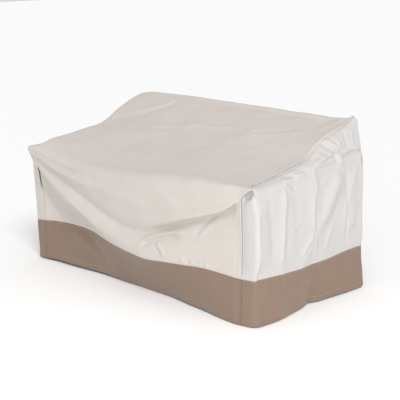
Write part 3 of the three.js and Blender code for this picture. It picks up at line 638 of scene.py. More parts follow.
def sectionGrid(columns):
    control = np.zeros((lastRow + 1, len(columns), 3))
    shares = np.array([at for kind, at, _ in columns if kind == "centre"])
    isCentre = np.array([kind == "centre" for kind, _, _ in columns])
    for row in range(lastRow + 1):
        x = np.where(shares < 0, shares * seamX(row, -1), shares * seamX(row, 1))
        y, z = sectionPoint(x, row)
        control[row, isCentre] = np.stack(np.broadcast_arrays(x, y, z), axis=1)
        for c, (kind, at, hand) in enumerate(columns):
            if kind == "strip":
                control[row, c] = stripPoint(row, hand, at)
    return control


# smooth rows between the section rows, by the chords of each column
def alongRows(control, rows):
    chords = np.diff(control, axis=0)
    chord = np.linalg.norm(chords, axis=2, keepdims=True) + 1e-6
    slope = chords / chord
    weight = chord[1:] / (chord[1:] + chord[:-1])
    tangent = np.concatenate([slope[:1], slope[:-1] * weight + slope[1:] * (1 - weight), slope[-1:]])
    k = np.minimum(np.floor(rows + 1e-9).astype(int), lastRow - 1)
    near, far, leave, reach = weights((rows - k)[:, None, None])
    return (
        control[k] * near + tangent[k] * chord[k] * leave
        + control[k + 1] * far + tangent[k + 1] * chord[k] * reach
    )


# the wall of one side, between its front, back and top borders and its hem
def wallGrid(strip, rows, hand):
    border = strip[:, -1]
    low, high = rowAt(rows, middleRow), rowAt(rows, middleRow + topRows)
    frontLine, topLine = border[: low + 1], border[low : high + 1]
    backRows = lastRow - rows[: high - 1 : -1]
    backBorder = border[: high - 1 : -1]
    backLine = np.stack([np.interp(rows[: low + 1], backRows, values) for values in backBorder.T], axis=1)
    s = ((topLine[:, 1] - topLine[0, 1]) / (topLine[-1, 1] - topLine[0, 1]))[:, None]
    t = ((frontLine[:, 2] - frontLine[0, 2]) / (frontLine[-1, 2] - frontLine[0, 2]))[None, :]
    hemY = mix(frontLine[0, 1], backLine[0, 1], s[:, 0])
    hemZ = hem[sideName(hand) + "Z"](hemY)
    hemLine = np.stack([hand * (halfLength + wallOut(hemY, 0, hand)), hemY, hemZ], axis=1)
    s, t = s[..., None], t[..., None]
    # a smooth patch between the four borders
    wall = (
        frontLine[None] * (1 - s) + backLine[None] * s + hemLine[:, None] * (1 - t) + topLine[:, None] * t
        - frontLine[0] * (1 - s) * (1 - t) - backLine[0] * s * (1 - t)
        - frontLine[-1] * (1 - s) * t - backLine[-1] * s * t
    )
    s, t = s[..., 0], t[..., 0]
    nearSeam = np.clip(1 - abs(wall[..., 2] / shape["backSeam"] - 1), 0, 1)
    wall[..., 2] += shape["sideSeamRise"] * np.sin(np.pi * s) * nearSeam
    y, z = wall[..., 1], wall[..., 2]
    fade = shape["wallFade"]
    inside = smooth(np.minimum(s, 1 - s), 0, fade["side"]) * smooth(1 - t, 0, fade["top"])
    x = hand * (wallX(z) + wallOut(y, z, hand) + inside * foldSum(mainFolds, sideName(hand), y, z))
    wall[1:-1, 1:-1, 0] = x[1:-1, 1:-1]
    wall[0], wall[-1], wall[:, -1] = frontLine, backLine, topLine
    return wall, low, high


# a face's fine folds show in full where the cloth looks that way, and not where it turns off
facingShare = (0.3, 0.7)

# small waves over all of the cloth, their lengths and height in millimetres
ripples = {"seed": 7, "waves": 26, "long": 260, "short": 60, "height": 0.28, "fall": 0.7, "turn": 6.3}


def rippleHeight(points):
    rng = np.random.default_rng(ripples["seed"])
    total = np.zeros(len(points))
    for _ in range(ripples["waves"]):
        way = rng.normal(size=3)
        way /= np.linalg.norm(way)
        length = ripples["short"] * (ripples["long"] / ripples["short"]) ** rng.random()
        wave = np.sin(points @ way * 2 * np.pi / length + rng.random() * ripples["turn"])
        total += wave * (length / ripples["long"]) ** ripples["fall"]
    return total * ripples["height"]


def pointNormals(points, quads):
    a, b, c, d = (points[quads[:, k]] for k in range(4))
    n = np.cross(c - a, d - b)
    total = np.zeros_like(points)
    for k in range(4):
        np.add.at(total, quads[:, k], n)
    return total / (np.linalg.norm(total, axis=1, keepdims=True) + 1e-9)


def pulledEars(points):
    out = points.copy()
    for ear in ears:
        away = np.linalg.norm(points - np.array(ear["at"]), axis=1) / ear["reach"]
        out += np.exp(-(away**2))[:, None] * np.array(ear["pull"])
    return out


def foldedCloth(points, quads, relief):
    points = pulledEars(points)
    normals = pointNormals(points, quads)
    height = rippleHeight(points) + relief
    for face, (u, v, way) in faceAxes.items():
        facing = smooth(normals @ np.array(way, float), *facingShare)
        near = facing > 0.001
        height[near] += facing[near] * foldSum(fineFolds, face, points[near, u], points[near, v])
    return points + normals * height[:, None], normals


# sewing that shows in the cloth: the turned hem, the skirt's seam, and the stitched strips of the front
sewing = {
    "hemWidth": 25, "hemRaise": 0.9, "hemEdge": (-3, 1), "seamRaise": 0.9, "seamEdge": (-1.5, 1.5),
    "groove": 1.1, "grooveReach": 2.4, "grooveOverSeam": 2, "stitchUnderSeam": 4,
    "stripAt": 25, "stripEdge": (23, 25.5), "stripRaise": 0.9, "stripRows": (12, 13), "stripStitchRow": 11.6,
    "skirtLineAt": 7, "skirtRows": (3, 3.1), "seamColumn": 5,  # where the seam's way from the hem is read
}


def grooveAt(away):
    return -sewing["groove"] * np.exp(-((away / sewing["grooveReach"]) ** 2))


# relief of the hem and of the skirt's seam, by the way from the hem and the place of the seam on it
def skirtRelief(reach, seamAt):
    pastHem, pastSeam = reach - sewing["hemWidth"], reach - seamAt
    hemBand = sewing["hemRaise"] * (1 - smooth(pastHem, *sewing["hemEdge"]))
    skirtEdge = sewing["seamRaise"] * (1 - smooth(pastSeam, *sewing["seamEdge"]))
    return hemBand + skirtEdge + grooveAt(pastHem) + grooveAt(pastSeam - sewing["grooveOverSeam"])


# that relief from both hems of a grid whose columns run over the cover from hem to hem
def bothEnds(reach, low, high):
    nearFront = skirtRelief(reach - reach[0], reach[low] - reach[0])
    return nearFront + skirtRelief(reach[-1] - reach, reach[-1] - reach[high])


def toFrame(points):
    return (points - np.array(shape["support"])) / 1000


def numbered(rows, columns):
    return np.arange(rows * columns).reshape(rows, columns)


# point numbers of a tube, its first column again after its last
def numberedRound(rows, columns):
    numbers = numbered(rows, columns)
    return np.concatenate([numbers, numbers[:, :1]], axis=1)


# quads over a grid of point numbers, outward when turned is false
def gridQuads(numbers, turned=False):
    a, b, c, d = numbers[:-1, :-1], numbers[:-1, 1:], numbers[1:, 1:], numbers[1:, :-1]
    quads = np.stack([a, b, c, d], axis=-1).reshape(-1, 4)
    return quads[:, ::-1] if turned else quads


def placed(name, data):
    made = bpy.data.objects.new(name, data)
    bpy.context.scene.collection.objects.link(made)
    return made


def newPiece(name, points, faces):
    mesh = bpy.data.meshes.new(name)
    mesh.from_pydata(toFrame(points).tolist(), [], faces)
    mesh.update()
    return placed(name, mesh)


def newCloth(name, points, quads, uv):
    used, quads = np.unique(quads, return_inverse=True)
    quads = quads.reshape(-1, 4)
    piece = newPiece(name, points[used], quads.tolist())
    mesh = piece.data
    layer = mesh.uv_layers.new(name="cloth")
    layer.uv.foreach_set("vector", (uv[used] / 1000)[quads.ravel()].ravel().astype(np.float32))
    mesh.polygons.foreach_set("use_smooth", [True] * len(mesh.polygons))
    return piece


def selectOnly(piece):
    bpy.ops.object.select_all(action="DESELECT")
    bpy.context.view_layer.objects.active = piece
    piece.select_set(True)


# turns all faces outward, and with ends closes a tube's two ends first
def closeMesh(piece, ends):
    selectOnly(piece)
    bpy.ops.object.mode_set(mode="EDIT")
    if ends:
        bpy.ops.mesh.select_all(action="DESELECT")
        bpy.ops.mesh.select_non_manifold()
        bpy.ops.mesh.edge_face_add()
    bpy.ops.mesh.select_all(action="SELECT")
    bpy.ops.mesh.normals_make_consistent(inside=False)
    bpy.ops.object.mode_set(mode="OBJECT")
    piece.select_set(False)


cloth = {"thickness": 0.0009}  # metres


def thicken(piece):
    solid = piece.modifiers.new("thickness", "SOLIDIFY")
    solid.thickness = cloth["thickness"]
    solid.offset = -1
    selectOnly(piece)
    bpy.ops.object.modifier_apply(modifier=solid.name)
    piece.select_set(False)


# the way along a grid of points, from its first row or column
def arcs(cells, axis):
    lengths = np.linalg.norm(np.diff(cells, axis=axis), axis=2)
    start = np.zeros_like(lengths[:1] if axis == 0 else lengths[:, :1])
    return np.cumsum(np.concatenate([start, lengths], axis=axis), axis=axis)


def wayAlong(line):
    return arcs(line[:, None], 0)[:, 0]


# the centre panel with the front and back of the skirt
shares = centreShares()
lap = grid["strip"][1]  # the cloth is worked out this far past each seam, so that it turns rightly there
columns = [("strip", lap, -1)] + [("centre", share, 0) for share in shares] + [("strip", lap, 1)]
rows = fineRows(1)
body = alongRows(sectionGrid(columns), rows)
numbers = numbered(*body.shape[:2])
seamLow, seamHigh = rowAt(rows, seamRow), rowAt(rows, lastRow - seamRow)
bodyReach = arcs(body, 0)
fromSeam = np.abs(np.concatenate([[1.0], shares, [1.0]]))
fromSeam = (1 - fromSeam) * (shape["seamFront"] + shape["seamTop"]) / 2
onFront = (1 - smooth(rows, *sewing["stripRows"]))[:, None]
onSkirt = (1 - smooth(rows, *sewing["skirtRows"]))[:, None]
strips = sewing["stripRaise"] * (1 - smooth(fromSeam, *sewing["stripEdge"]))
strips = strips + grooveAt(fromSeam - sewing["stripAt"])
strips = strips * np.concatenate([[0.0], shares > 0, [1.0]])  # on the right alone
bodyRelief = bothEnds(bodyReach, seamLow, seamHigh) + strips * onFront
bodyRelief = bodyRelief + grooveAt(fromSeam - sewing["skirtLineAt"]) * onSkirt
bodyPoints, bodyNormals = foldedCloth(body.reshape(-1, 3), gridQuads(numbers), bodyRelief.ravel())
bodyGrid, bodyUp = bodyPoints.reshape(body.shape), bodyNormals.reshape(body.shape)
across = arcs(body, 1)
middleColumn = across.shape[1] // 2
fromMiddle = across - across[:, middleColumn : middleColumn + 1]
bodyUv = np.stack([fromMiddle, bodyReach], axis=-1).reshape(-1, 2)
own = numbers[:, 1:-1]  # without the columns past the seams
centrePanel = newCloth("centrePanel", bodyPoints, gridQuads(own[seamLow : seamHigh + 1]), bodyUv)
skirtFront = newCloth("skirtFront", bodyPoints, gridQuads(own[: seamLow + 1]), bodyUv)
skirtBack = newCloth("skirtBack", bodyPoints, gridQuads(own[seamHigh:]), bodyUv)
print("centre panel and skirt, front and back:", len(centrePanel.data.polygons), "faces")


# stitches: rows of small dashes of thread, each resting in its groove
stitch = {
    "length": 3.6, "gap": 1.8, "thick": 1.15, "clear": 3, "lift": 0.35,
    "rings": ((0, 0.15), (0.2, 1), (0.8, 1), (1, 0.15)),  # share of the length, and of the thickness there
    "section": ((-1, 0), (-0.7, 0.9), (0.7, 0.9), (1, 0), (0, -0.6)),  # sideways and up, in half thicknesses
}


# a line over a grid of points where the way from its first row is just so long
def lineAt(gridPoints, gridNormals, reach, way):
    line, up = [], []
    for c in range(gridPoints.shape[1]):
        k = min(max(int(np.searchsorted(reach[:, c], way)), 1), len(reach) - 1)
        t = (way - reach[k - 1, c]) / (reach[k, c] - reach[k - 1, c])
        line.append(mix(gridPoints[k - 1, c], gridPoints[k, c], t))
        up.append(gridNormals[k, c])
    return np.array(line), np.array(up)


# two such lines, just as far from both hems
def bothLines(gridPoints, gridNormals, reach, way):
    fromBack = (reach[-1:] - reach)[::-1]
    return [
        lineAt(gridPoints, gridNormals, reach, way),
        lineAt(gridPoints[::-1], gridNormals[::-1], fromBack, way),
    ]


def atWay(line, reach, at):
    return np.stack([np.interp(at, reach, values) for values in line.T], axis=1)


def stitchesAlong(line, up):
    reach = wayAlong(line)
    clear, length = stitch["clear"], stitch["length"]
    start = np.arange(clear, reach[-1] - length - clear, length + stitch["gap"])
    made = []
    for share, wide in stitch["rings"]:
        at = start + share * length
        middle, raised = atWay(line, reach, at), atWay(up, reach, at)
        along = atWay(line, reach, at + 1) - middle
        sideways = np.cross(along, raised)
        sideways /= np.linalg.norm(sideways, axis=1, keepdims=True) + 1e-9
        half = stitch["thick"] * wide / 2
        for sideStep, rise in stitch["section"]:
            made.append(middle + sideways * sideStep * half + raised * (rise * half + stitch["lift"]))
    return np.stack(made, axis=1)


def newStitches(name, lines):
    points = np.concatenate([stitchesAlong(line, up) for line, up in lines])
    rings, perRing = len(stitch["rings"]), len(stitch["section"])
    one = numbered(rings, perRing)
    sides = gridQuads(numberedRound(rings, perRing)).tolist()
    faces = sides + [one[0, ::-1].tolist(), one[-1].tolist()]
    allFaces = [[v + one.size * k for v in face] for k in range(len(points)) for face in faces]
    piece = newPiece(name, points.reshape(-1, 3), allFaces)
    closeMesh(piece, False)
    print(name, len(points), "stitches")
    return piece


# the gap beside a side seam, by the strip's shares: nearly shut on the left of the top, wide on its right;
# the open slit at the front left; and the pocket under the turned corner at the front right
sideGap = table("share depth", (0, 1.5), (0.04, 4), (0.1, 3), (0.18, 0.8), (0.28, 0), (1, 0))
gapRows = {
    "over": (3, 3.4), "shut": 0.8, "shutFrom": (9.5, 11), "shutTo": (30, 33),
    "wideFrom": (18, 19.2), "wideTo": (21.5, 23),
}
slit = {"from": (3.6, 4.8), "to": (6.2, 9.3), "width": 7, "reach": 0.6}
slitLift = table("share rise", (0, 4), (0.04, 4), (0.4, 0))
pocket = {"from": (8.0, 10.2), "to": (13.3, 14.9), "edge": (-0.42, 0.06)}
pocketEdge = table("row share", (8.6, 0.12), (10, 0.42), (11.5, 0.68), (13.4, 0.98))
pocketDepth = table("share depth", (0, 3), (0.04, 18), (0.1, 27), (0.2, 30))


# how far the seam is open at each row of the left side
def slitShare(sideRows):
    return band(sideRows, slit["from"], slit["to"])


# how far the strip and the wall of a side stand proud of their plain shape
def sideRelief(strip, sideRows, low, seams, hand):
    at = np.array([0.0] + list(grid["strip"]))
    above = smooth(sideRows, *gapRows["over"]) * smooth(lastRow - sideRows, *gapRows["over"])
    if hand < 0:
        above = above * (1 - gapRows["shut"] * band(sideRows, gapRows["shutFrom"], gapRows["shutTo"]))
        above = above * (1 - slitShare(sideRows))
    else:
        above = above * (1 + band(sideRows, gapRows["wideFrom"], gapRows["wideTo"]))
    relief = -above[:, None] * between(sideGap, at)
    if hand < 0:
        relief += slitShare(sideRows)[:, None] * between(slitLift, at)
    else:
        tucked = band(sideRows, pocket["from"], pocket["to"])[:, None]
        fromEdge = at - between(pocketEdge, sideRows)[:, None]
        relief -= tucked * (1 - smooth(fromEdge, *pocket["edge"])) * between(pocketDepth, at)
    relief += bothEnds(arcs(strip, 0), *seams)
    border = wayAlong(strip[: low + 1, -1])
    return relief, skirtRelief(border, border[seams[0]])


# values for all points of a side: the strip's, then the wall's without the borders that are the strip's
def stripAndWall(onStrip, onWall):
    return np.concatenate([part.reshape(-1, *part.shape[2:]) for part in (onStrip, onWall[1:, :-1])])


# the cloth's own plane, laid out flat from the wall: the strip goes on forward, up or back from its border
def sideUv(strip, wall, sideRows):
    topStart, topEnd = middleRow + browSteps, middleRow + topRows - browSteps
    turns = (frontCount, topStart, topEnd, middleRow + topRows + browSteps)
    angle = np.interp(sideRows, turns, [np.pi, np.pi / 2, np.pi / 2, 0])  # front, top, back
    way = np.stack([np.cos(angle), np.sin(angle)], axis=1)
    fromWall = arcs(strip[:, ::-1], 1)[:, ::-1]
    return stripAndWall(strip[:, -1:, 1:3] + way[:, None] * fromWall[..., None], wall[..., 1:3])


sideLines = []


# one side: its wall, the strip that wraps three of its edges, and its skirt
def makeSide(hand, name, skirtName):
    sideRows = fineRows(grid["sideFiner"])
    underSeam = ("centre", hand * (1 - shape["overlap"] / shape["seamTop"]), hand)
    columns = [underSeam] + [("strip", at, hand) for at in grid["strip"]]
    strip = alongRows(sectionGrid(columns), sideRows)
    if hand < 0:
        toCorner = np.clip(1 - np.array(grid["strip"]) / slit["reach"], 0, 1)
        strip[:, 1:, 0] -= slit["width"] * slitShare(sideRows)[:, None] * toCorner
    wall, low, high = wallGrid(strip, sideRows, hand)
    points = stripAndWall(strip, wall)
    numbers = numbered(*strip.shape[:2])
    # at its front and top the wall takes the strip's points; the strip has other rows at the back, so there
    # the wall has points of its own
    inner = np.zeros(wall.shape[:2], int)
    inner[1:, :-1] = numbers.size + numbered(wall.shape[0] - 1, wall.shape[1] - 1)
    inner[0], inner[:, -1] = numbers[: low + 1, -1], numbers[low : high + 1, -1]
    turned = hand < 0
    quads = np.concatenate([gridQuads(numbers, turned), gridQuads(inner, not turned)])
    seamFront, seamBack = rowAt(sideRows, seamRow), rowAt(sideRows, lastRow - seamRow)
    relief, wallRelief = sideRelief(strip, sideRows, low, (seamFront, seamBack), hand)
    relief = stripAndWall(relief, np.broadcast_to(wallRelief, wall.shape[:2]))
    folded, normals = foldedCloth(points, quads, relief)
    uv = sideUv(strip, wall, sideRows)
    ownStrip = numbers[:, 1:]  # without the column past the seam
    wallFaces = np.concatenate([
        gridQuads(ownStrip[seamFront : seamBack + 1], turned),
        gridQuads(inner[:, seamFront:], not turned),
    ])
    skirtFaces = np.concatenate([
        gridQuads(ownStrip[: seamFront + 1], turned),
        gridQuads(ownStrip[seamBack:], turned),
        gridQuads(inner[:, : seamFront + 1], not turned),
    ])
    made = newCloth(name, folded, wallFaces, uv), newCloth(skirtName, folded, skirtFaces, uv)
    reach = arcs(strip, 0)
    wallReach = np.broadcast_to(reach[: low + 1, -1:], (low + 1, inner.shape[0]))
    for way in (sewing["hemWidth"], float(reach[seamFront, -1]) - sewing["stitchUnderSeam"]):
        sideLines.extend(bothLines(folded[ownStrip], normals[ownStrip], reach[:, 1:], way))
        sideLines.append(lineAt(folded[inner.T], normals[inner.T], wallReach, way))
    print(name, len(made[0].data.polygons), "faces")
    return made


sidePanelLeft, skirtLeft = makeSide(-1, "sidePanelLeft", "skirtLeft")
sidePanelRight, skirtRight = makeSide(1, "sidePanelRight", "skirtRight")


# the sewn edge that lies along each side seam, leaning to the middle
seamEdge = {
    "thick": 1.7, "thickOver": (0, 5), "wave": 0.7, "waveOver": (4, 12), "waves": (31, 77),
    "left": 0.75, "leftShut": 0.25, "pitch": 4.0,
}
# its section: up by shares of the thickness and the wave and by millimetres, and over by a share of the width
# and by millimetres
seamEdgeRing = (
    (0, 0, -0.6, 0, -0.9), (0.5, 0, 0, 0, -1.4), (1, 0, 0, 0, -0.5), (1.2, 0.5, 0, 0.5, 0),
    (0.9, 1, 0.5, 1, -0.6), (0.3, 1, 0.5, 1, 0), (0, 0.5, -0.3, 0.6, 0),
)
edgeWidth = table(
    "row width",
    (0, 2.5), (3, 2.5), (3.3, 5), (9, 5), (12, 6), (14, 8), (17, 4), (20, 6), (24, 11), (26, 9),
    (29, 5), (43, 5),
)


def makeSeamEdge(hand, name):
    column = 1 if hand < 0 else body.shape[1] - 2
    line, up = bodyGrid[:, column], bodyUp[:, column]
    along = np.gradient(line, axis=0)
    along /= np.linalg.norm(along, axis=1, keepdims=True)
    inward = np.cross(along, up)
    inward *= np.sign(-inward[:, :1] * hand + 1e-9)
    reach = wayAlong(line)
    width = between(edgeWidth, rows)
    if hand < 0:
        shut = band(rows, gapRows["shutFrom"], gapRows["shutTo"])
        width = width * mix(seamEdge["left"], seamEdge["leftShut"], shut)
    short, long = seamEdge["waves"]
    thick = seamEdge["thick"] * smooth(width, *seamEdge["thickOver"])[:, None]
    wave = np.sin(reach / short) * np.sin(reach / long + hand) * seamEdge["wave"]
    wave = (wave * smooth(width, *seamEdge["waveOver"]))[:, None]
    width = width[:, None]
    points = np.stack([
        line + up * (thick * ofThick + wave * ofWave + rise) + inward * (width * ofWidth + aside)
        for ofThick, ofWave, rise, ofWidth, aside in seamEdgeRing
    ], axis=1)
    perRow = points.shape[1]
    uv = np.stack(np.broadcast_arrays(np.arange(perRow) * seamEdge["pitch"], reach[:, None]), axis=-1)
    quads = gridQuads(numberedRound(*points.shape[:2]))
    piece = newCloth(name, points.reshape(-1, 3), quads, uv.reshape(-1, 2))
    closeMesh(piece, True)
    for face in piece.data.polygons:  # cream above the skirt's seam, taupe below it
        row = rows[min(min(face.vertices) // perRow, len(rows) - 2)]
        face.material_index = int(row < seamRow or row > lastRow - seamRow - 0.01)
    return piece


seamEdgeLeft = makeSeamEdge(-1, "seamEdgeLeft")
seamEdgeRight = makeSeamEdge(1, "seamEdgeRight")

hemLines = []
for way in (sewing["hemWidth"], float(bodyReach[seamLow, sewing["seamColumn"]]) - sewing["stitchUnderSeam"]):
    hemLines.extend(bothLines(bodyGrid[:, 1:-1], bodyUp[:, 1:-1], bodyReach[:, 1:-1], way))
stripColumn = middleColumn + int(np.argmin(np.abs(fromSeam[middleColumn:] - sewing["stripAt"])))
stripRows = slice(seamLow + 1, int(np.searchsorted(rows, sewing["stripStitchRow"])))
panelLines = [(bodyGrid[stripRows, stripColumn], bodyUp[stripRows, stripColumn])]
hemLines.append((bodyGrid[:seamLow, stripColumn], bodyUp[:seamLow, stripColumn]))

hemStitches = newStitches("hemStitches", hemLines + sideLines)
panelStitches = newStitches("panelStitches", panelLines)

for piece in (centrePanel, skirtFront, skirtBack, sidePanelLeft, skirtLeft, sidePanelRight, skirtRight):
    thicken(piece)
print("pieces thickened")


def newGroup(name, inputs, outputs):
    group = bpy.data.node_groups.new(name, "ShaderNodeTree")
    for label, kind, value in inputs:
        socket = group.interface.new_socket(label, in_out="INPUT", socket_type=kind)
        socket.default_value = value
    for label, kind in outputs:
        group.interface.new_socket(label, in_out="OUTPUT", socket_type=kind)
    return group, group.nodes.new("NodeGroupInput"), group.nodes.new("NodeGroupOutput")


# a calculation in a node group, on sockets and plain numbers
def mathNode(group, operation, a, b=None):
    node = group.nodes.new("ShaderNodeMath")
    node.operation = operation
    for socket, value in zip(node.inputs, (a, b)):
        if isinstance(value, (int, float)):
            socket.default_value = value
        elif value is not None:
            group.links.new(value, socket)
    return node.outputs[0]


# plain weave: warp over weft in turn, with slubs
def weaveGroup():
    inputs = [("Pitch", "NodeSocketFloat", 0.0007), ("Slub", "NodeSocketFloat", 0.3)]
    group, given, out = newGroup("plainWeave", inputs, [("Height", "NodeSocketFloat")])
    calc, link = partial(mathNode, group), group.links.new
    uv = group.nodes.new("ShaderNodeUVMap")
    uv.uv_map = "cloth"
    split = group.nodes.new("ShaderNodeSeparateXYZ")
    link(uv.outputs["UV"], split.inputs[0])
    u, v = (calc("DIVIDE", split.outputs[axis], given.outputs["Pitch"]) for axis in "XY")
    warp, weft = (calc("ABSOLUTE", calc("SINE", calc("MULTIPLY", w, math.pi))) for w in (u, v))
    over = calc("ABSOLUTE", calc("MODULO", calc("ADD", calc("FLOOR", u), calc("FLOOR", v)), 2.0))
    threads = calc("ADD", calc("MULTIPLY", warp, over), calc("MULTIPLY", weft, calc("SUBTRACT", 1.0, over)))
    slubs = group.nodes.new("ShaderNodeTexNoise")
    stretch = group.nodes.new("ShaderNodeMapping")
    stretch.inputs["Scale"].default_value = (900, 60, 1)
    link(uv.outputs["UV"], stretch.inputs["Vector"])
    link(stretch.outputs["Vector"], slubs.inputs["Vector"])
    rough = calc("MULTIPLY", slubs.outputs["Fac"], given.outputs["Slub"])
    link(calc("ADD", threads, rough), out.inputs["Height"])
    return group


# broad soft changes of colour, as cloth has that was folded and hung outdoors
def mottleGroup():
    inputs = [
        ("Color", "NodeSocketColor", (1, 1, 1, 1)), ("Shade", "NodeSocketColor", (0.8, 0.8, 0.8, 1)),
        ("Amount", "NodeSocketFloat", 0.3), ("Size", "NodeSocketFloat", 0.1),
    ]
    group, given, out = newGroup("softMottle", inputs, [("Color", "NodeSocketColor")])
    calc, link = partial(mathNode, group), group.links.new
    place = group.nodes.new("ShaderNodeTexCoord")
    broad = group.nodes.new("ShaderNodeTexNoise")
    broad.inputs["Detail"].default_value = 4
    broad.inputs["Roughness"].default_value = 0.55
    link(place.outputs["Object"], broad.inputs["Vector"])
    link(calc("DIVIDE", 1.0, given.outputs["Size"]), broad.inputs["Scale"])
    patches = calc("MAXIMUM", calc("SUBTRACT", broad.outputs["Fac"], 0.35), 0.0)  # where the noise is high
    blend = group.nodes.new("ShaderNodeMix")
    blend.data_type = "RGBA"
    link(calc("MULTIPLY", patches, given.outputs["Amount"]), blend.inputs["Factor"])
    link(given.outputs["Color"], blend.inputs[6])  # sockets 6, 7 and 2 are the ones for colours
    link(given.outputs["Shade"], blend.inputs[7])
    link(blend.outputs[2], out.inputs["Color"])
    return group


weave = weaveGroup()
mottle = mottleGroup()

coated = {"amount": 0.7, "roughness": 0.82, "sheen": 0.12, "pitch": 0.0007, "depth": 0.00012}
thread = {"amount": 0.8, "roughness": 0.7, "sheen": 0.1, "pitch": 0.0003, "depth": 0.00005}
finishes = {
    "panelCloth": {**coated, "color": (0.583, 0.538, 0.499), "shade": (0.514, 0.472, 0.436)},
    # the right side panel's copy of the cloth: its cooler tint is painted light, the cool light that falls on
    # that side
    "sideClothCoolLit": {**coated, "color": (0.556, 0.534, 0.524), "shade": (0.495, 0.475, 0.464), "roughness": 0.8},
    # the left side panel's copy of the same cloth, darker and warmer: painted shade, for the side turned away
    # from the light
    "sideClothShaded": {**coated, "color": (0.562, 0.524, 0.496), "shade": (0.498, 0.462, 0.435), "roughness": 0.8},
    "skirtCloth": {**coated, "color": (0.238, 0.165, 0.122), "shade": (0.194, 0.137, 0.103),
                   "roughness": 0.85, "sheen": 0.2, "pitch": 0.0008, "depth": 0.00014},
    # the seam edge is the centre panel's own cloth, made lighter: a painted highlight along the raised edge
    "edgeClothLit": {**coated, "color": (0.595, 0.547, 0.504), "shade": (0.55, 0.507, 0.459),
                  "roughness": 0.85, "amount": 0.6, "sheen": 0.1, "depth": 0.0001},
    "hemThread": {**thread, "color": (0.55, 0.43, 0.35), "shade": (0.46, 0.36, 0.29)},
    "panelThread": {**thread, "color": (0.66, 0.61, 0.55), "shade": (0.55, 0.5, 0.45)},
}


def clothMaterial(name, finish):
    material = bpy.data.materials.new(name)
    material.use_nodes = True
    nodes, links = material.node_tree.nodes, material.node_tree.links
    shader, bump = nodes["Principled BSDF"], nodes.new("ShaderNodeBump")
    tone, threads = nodes.new("ShaderNodeGroup"), nodes.new("ShaderNodeGroup")
    tone.node_tree, threads.node_tree = mottle, weave
    for node, values in (
        (shader, {"Roughness": finish["roughness"], "Sheen Weight": finish["sheen"], "Sheen Roughness": 0.5,
                  "Specular IOR Level": 0.35}),
        (tone, {"Color": (*finish["color"], 1), "Shade": (*finish["shade"], 1), "Amount": finish["amount"],
                "Size": 0.12}),
        (threads, {"Pitch": finish["pitch"]}),
        (bump, {"Strength": 0.5, "Distance": finish["depth"]}),
    ):
        for label, value in values.items():
            node.inputs[label].default_value = value
    links.new(tone.outputs["Color"], shader.inputs["Base Color"])
    links.new(threads.outputs["Height"], bump.inputs["Height"])
    links.new(bump.outputs["Normal"], shader.inputs["Normal"])
    return material


materials = {name: clothMaterial(name, finish) for name, finish in finishes.items()}

# each piece: the solid it stands for, its material, and the flat size of its cut in metres
pieces = [
    (centrePanel, "centre_panel", "panel_cloth", "panelCloth", (1.39, 1.73)),
    # both side panels are one cloth, given a lit and a shaded copy of its colour: painted light
    (sidePanelLeft, "side_panel_left", "side_cloth", "sideClothShaded", (0.80, 0.62)),
    (sidePanelRight, "side_panel_right", "side_cloth", "sideClothCoolLit", (0.80, 0.62)),
    (skirtFront, "skirt_front", "skirt_cloth", "skirtCloth", (1.36, 0.2)),
    (skirtBack, "skirt_back", "skirt_cloth", "skirtCloth", (1.36, 0.2)),
    (skirtLeft, "skirt_left", "skirt_cloth", "skirtCloth", (0.82, 0.2)),
    (skirtRight, "skirt_right", "skirt_cloth", "skirtCloth", (0.82, 0.2)),
]


def dress(piece, slot, *finishNames):
    for name in finishNames:
        piece.data.materials.append(materials[name])
    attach(piece, "root")


for piece, node, slot, finish, flat in pieces:
    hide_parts(node)
    dress(piece, slot, finish)
dress(hemStitches, "skirt_cloth", "hemThread")
dress(panelStitches, "panel_cloth", "panelThread")
for piece, node in ((seamEdgeLeft, "seam_edge_left"), (seamEdgeRight, "seam_edge_right")):
    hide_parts(node)
    dress(piece, "seam_edge", "edgeClothLit", "skirtCloth")
print("materials and rides done")

camera = {"azimuth": 46.466, "elevation": 13.387, "distance": 4.161, "roll": -1.882, "lens": 82.36,
          "target": (0.086, -0.300, -0.388)}


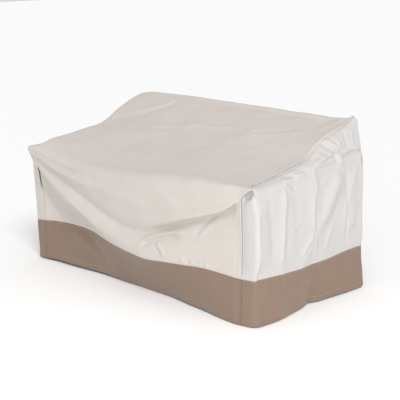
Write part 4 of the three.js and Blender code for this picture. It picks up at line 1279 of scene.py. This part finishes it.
def makeCamera():
    az, el, roll = (math.radians(camera[key]) for key in ("azimuth", "elevation", "roll"))
    back = Vector((math.sin(az) * math.cos(el), -math.cos(az) * math.cos(el), math.sin(el)))
    right = Vector((0, 0, 1)).cross(back).normalized()
    up = back.cross(right)
    turned = Matrix((right, up, back)).transposed() @ Matrix.Rotation(roll, 3, "Z")
    data = bpy.data.cameras.new("camera")
    data.lens = camera["lens"]
    data.sensor_width = 36
    data.clip_end = 100
    made = placed("camera", data)
    at = Vector(camera["target"]) + back * camera["distance"]
    made.matrix_world = Matrix.Translation(at) @ turned.to_4x4()
    bpy.context.scene.camera = made


makeCamera()

floor = {"drop": 0.012, "size": 160, "color": (0.99, 0.99, 0.99)}
floorZ = -shape["support"][2] / 1000 - floor["drop"]
bpy.ops.mesh.primitive_plane_add(size=floor["size"], location=(0, 0, floorZ))
ground = bpy.context.object
ground.name = "floor"
groundMaterial = bpy.data.materials.new("floor")
groundMaterial.use_nodes = True
groundShader = groundMaterial.node_tree.nodes["Principled BSDF"]
groundShader.inputs["Base Color"].default_value = (*floor["color"], 1)
groundShader.inputs["Roughness"].default_value = 0.9
ground.data.materials.append(groundMaterial)

sun = {"at": (4.8, -2.4, 4.32), "soft": 22, "strength": 1.52}  # far off; its softness in degrees
lamp = {"at": (2.0, -2.3, 0.0), "to": (0.6, -0.64, -0.35), "size": 0.8, "power": 16.5}  # near the front right
sky = 0.68


def placeLight(data, at, to):
    made = placed(data.name, data)
    made.location = at
    made.rotation_mode = "QUATERNION"
    made.rotation_quaternion = (Vector(at) - Vector(to)).to_track_quat("Z", "Y")


sunLight = bpy.data.lights.new("key", "SUN")
sunLight.angle = math.radians(sun["soft"])
sunLight.energy = sun["strength"]
placeLight(sunLight, sun["at"], (0, 0, 0))
lampLight = bpy.data.lights.new("panel", "AREA")
lampLight.size = lamp["size"]
lampLight.energy = lamp["power"]
placeLight(lampLight, lamp["at"], lamp["to"])
world = bpy.data.worlds.new("studio")
bpy.context.scene.world = world
world.use_nodes = True
world.node_tree.nodes["Background"].inputs["Color"].default_value = (1, 1, 1, 1)
world.node_tree.nodes["Background"].inputs["Strength"].default_value = sky
bpy.context.scene.view_settings.view_transform = "Standard"

print("scene done")
